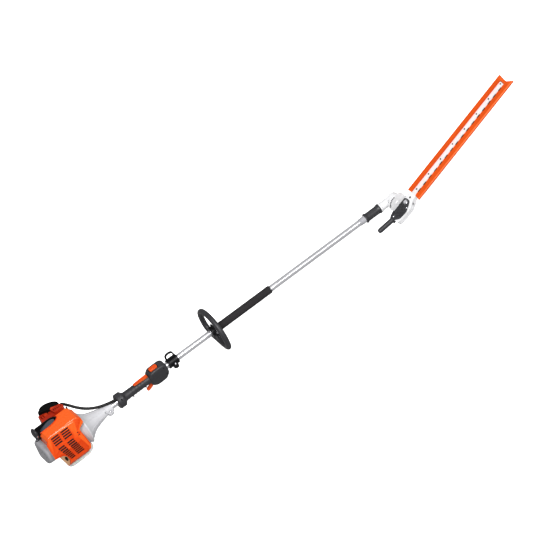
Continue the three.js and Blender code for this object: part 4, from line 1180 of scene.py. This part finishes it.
def build_gear_plate():
    """Black plate with rows of studs, its bolt and the screws round it."""
    plan = rounded([
        (-60, -36), (-22, -24.6), (22, -29.5), (35, -42), (35, -66), (16, -78), (-9, -90), (-46, -84),
        (-60, -68), (-72, -62), (-72, -44),
    ], [6, 16, 9, 7, 9, 8, 9, 7, 6, 5, 5], 6)
    plate = prism("plate", "z", plan, -17, -14, HEAD)
    bevel(plate, 0.8, 2)
    cut(plate, prism("hole", "z", circle(3.3, (21, BLADE_Y), 24), -30, -10, HEAD))
    show(plate, "black_plastic", ["gear_plate"], body="head", finish="grip_plastic")
    bumps = []
    for row in range(8):
        for column in range(8):
            x, y = -46 + 7.6 * column + (3.8 if row % 2 else 0), -80 + 6.4 * row
            by_bolt = abs(x - 21) < 12 and abs(y - BLADE_Y) < 12
            by_screw = x < -44 and abs(y + 53) < 9
            off_near = y < -72 and (x < -40 or x > -4)
            off_front = x > 28 and abs(y + 54) > 10
            off_far = y > -40 and x > 20
            if by_bolt or by_screw or off_near or off_front or off_far:
                continue
            bumps.append(lathe("stud", "z", [
                (-14.1, 0), (-14.1, 2.2), (-13, 1.7), (-12.6, 0.9), (-12.5, 0),
            ], (x, y), 10, HEAD))
    studs = merged(bumps)
    studs.name = "plate_studs"
    show(studs, "black_plastic", body="head")
    bolt = prism("bolt", "z", circle(8, (21, BLADE_Y), 6), -13.4, -9, HEAD)
    bevel(bolt, 0.9, 2, 40)
    join(
        bolt,
        prism("washer", "z", circle(9.4, (21, BLADE_Y), 40), -13.7, -12.6, HEAD),
        prism("shank", "z", circle(3, (21, BLADE_Y), 24), -19, -12, HEAD),
    )
    show(bolt, "steel", ["plate_bolt"], body="head")
    nose = lathe("case_screw", "z", [
        (-18, 0), (-18, 4), (-16.4, 4), (-15.6, 3.2), (-15.6, 0),
    ], (46, BLADE_Y), 24, HEAD)
    show(nose, "dark_steel", body="head")
    for index, place in enumerate(((-54, -53), (6, -79))):
        screw = socket_screw(f"plate_screw_{index + 1}", place, -14.2, 3.4, height=2.4, space=HEAD)
        show(screw, "steel", body="head")


def build_lever():
    """Round adjusting lever that slopes down from a foot on the case's rear."""
    length = 78
    turn = Matrix.Rotation(math.radians(-166), 3, "Y")
    start = Vector((-64, BLADE_Y + 1, -20))
    profile = [(0, 8.6), (2, 9.8), (6, 10.3), (length - 14, 10.3)]
    profile += [(length - 7, 9.6), (length - 3, 7.8), (length - 0.8, 4.2), (length, 0.4)]
    lever = loft("lever", [
        [start + turn @ Vector((along, u, v)) for u, v in circle(radius)] for along, radius in profile
    ], HEAD)
    foot = bevel(head_block("foot", -74, -63.3, -63, -45, -32, -17.3), 1.5, 3)
    join(lever, foot)
    show(lever, "grip_plastic", ["adjusting_lever"], body="head", smooth=45)


def build_bar_and_blades():
    """Guide bar with its screws, and two blades with teeth on both sides."""
    bar = prism("bar", "z", rounded(rectangle(28, 628, BLADE_Y - 13, BLADE_Y + 13), 5), -22, -20, HEAD)
    bevel(bar, 0.4, 2)
    groove = head_block("groove", 74, 616, BLADE_Y - 1.2, BLADE_Y + 1.2, -20.35, -19)
    show(cut(bar, groove), "blade_steel", ["guide_bar"], body="head")
    for index in range(8):
        screw = lathe(f"bar_screw_{index + 1}", "z", [
            (-20, 0), (-20, 3.4), (-19.4, 3.4), (-19.3, 2.6), (-18, 2.6), (-17.5, 2.1), (-17.5, 0),
        ], (88 + 76 * index, BLADE_Y + 3), 6 if index % 2 else 32, HEAD)
        show(screw, "dark_steel", body="head")
    row = [(76 + TOOTH_PITCH * step + ahead, reach) for step in range(16) for ahead, reach in TOOTH]
    edge = [(34, 13), *row, (624, 13)]
    outline = [(x, BLADE_Y - y) for x, y in edge] + [(x, BLADE_Y + y) for x, y in reversed(edge)]
    for label, top in (("upper", -22.3), ("lower", -24.6)):
        blade = prism(f"{label}_cutter_plate", "z", outline, top - 2, top, HEAD)
        bevel(blade, 0.35, 1)
        show(blade, "blade_steel", [f"{label}_blade"], body=f"{label}_cutter")


def build_scabbard():
    """Slotted blade cover with a notched tip, and dark strips along its slot that paint the shade: dashes in the
    tooth gaps on the near side, a line on the far side.
    """
    start, end, tip, slot, top, bottom = 66.3, 642, 662, 28, -18.5, -31
    near, far = BLADE_Y - 40, BLADE_Y + 40
    slot_near, slot_far = BLADE_Y - slot / 2, BLADE_Y + slot / 2
    section = rounded([
        (near, bottom + 4), (near + 4, bottom), (far - 4, bottom), (far, bottom + 4), (far, top - 2),
        (far - 3, top), (near + 3, top), (near, top - 2),
    ], [2, 3, 3, 2, 1, 2, 2, 1], 4)
    plan = [
        (start - 4, near), (tip, near), (end + 1, near + 26), (end, BLADE_Y + 12), (end + 3, far),
        (start - 4, far), (start - 1, far - 22), (start, BLADE_Y), (start - 1, near + 22),
    ]
    cover = prism("cover", "x", section, start - 8, tip + 2, HEAD)
    keep_inside(cover, prism("cover_plan", "z", plan, bottom - 1, top + 1, HEAD))
    bevel(cover, 0.7, 2, 40)
    channel = rounded(rectangle(start - 20, end - 12, slot_near, slot_far), 5)
    cut(
        cover,
        head_block("inside", start - 20, end - 4, near + 2.5, far - 2.5, bottom + 2.5, top - 2.5),
        prism("channel", "z", channel, top - 4, top + 1, HEAD),
        *[
            head_block("rib_gap", start + 24, end - 30, y - 0.6, y + 0.6, top - 0.7, top + 1)
            for y in (near + 7, near + 21, far - 21, far - 7)
        ],
    )
    show(cover, "scabbard_orange", ["scabbard"], body="blade_cover")
    rail = 1.4
    for label, edge in (("near", slot_near - rail), ("far", slot_far)):
        outline = rounded(rectangle(start + 4, end - 16, edge, edge + rail), 0.6)
        lip = prism(f"slot_lip_{label}", "z", outline, top - 2.4, top + 1.1, HEAD)
        bevel(lip, 0.35, 2)
        show(lip, "scabbard_orange", body="blade_cover")
    # Painted shadow: a dark red-brown strip along the far edge of the slot, where the far lip throws its shade.
    shade_line = head_block(
        "painted_shadow_far", start + 8, end - 18, slot_far - 1.2, slot_far + 0.9, top - 2.2, top + 1.3,
    )
    show(shade_line, "scabbard_orange", body="blade_cover", finish="filter_orange")
    # Painted shade: black dashes across the near edge of the slot, one for each tooth, where the gaps between the
    # teeth lie in shade.
    shadow_dashes = [
        head_block("painted_shadow_dashes", x, x + 17, slot_near - 1.9, slot_near + 1.2, top - 1, top + 1.7)
        for x in range(84, 620, TOOTH_PITCH)
    ]
    show(merged(shadow_dashes), "black_plastic", body="blade_cover", finish="black_rubber")


# ---------------------------------------------------------------- assembly
add_studio()
add_floor()
add_camera()
build_shroud()
build_slot_shade_and_shield()
build_plug_cover()
build_starter()
build_tank()
build_air_filter()
build_clutch_housing()
build_cable()
build_tube()
build_handle()
build_carry_ring()
build_loop()
build_foam_and_sleeve()
build_joint_housing()
build_gear_case()
build_gear_plate()
build_lever()
build_bar_and_blades()
build_scabbard()

for row in frame["record"]["subparts"]:
    thing = frame["nodes"][row["node"]]
    thing.data.materials.clear()
    thing.data.materials.append(FINISH[row["material_slot"]])
    thing.data.shade_smooth()
    thing.data.set_sharp_from_angle(angle=math.radians(30))
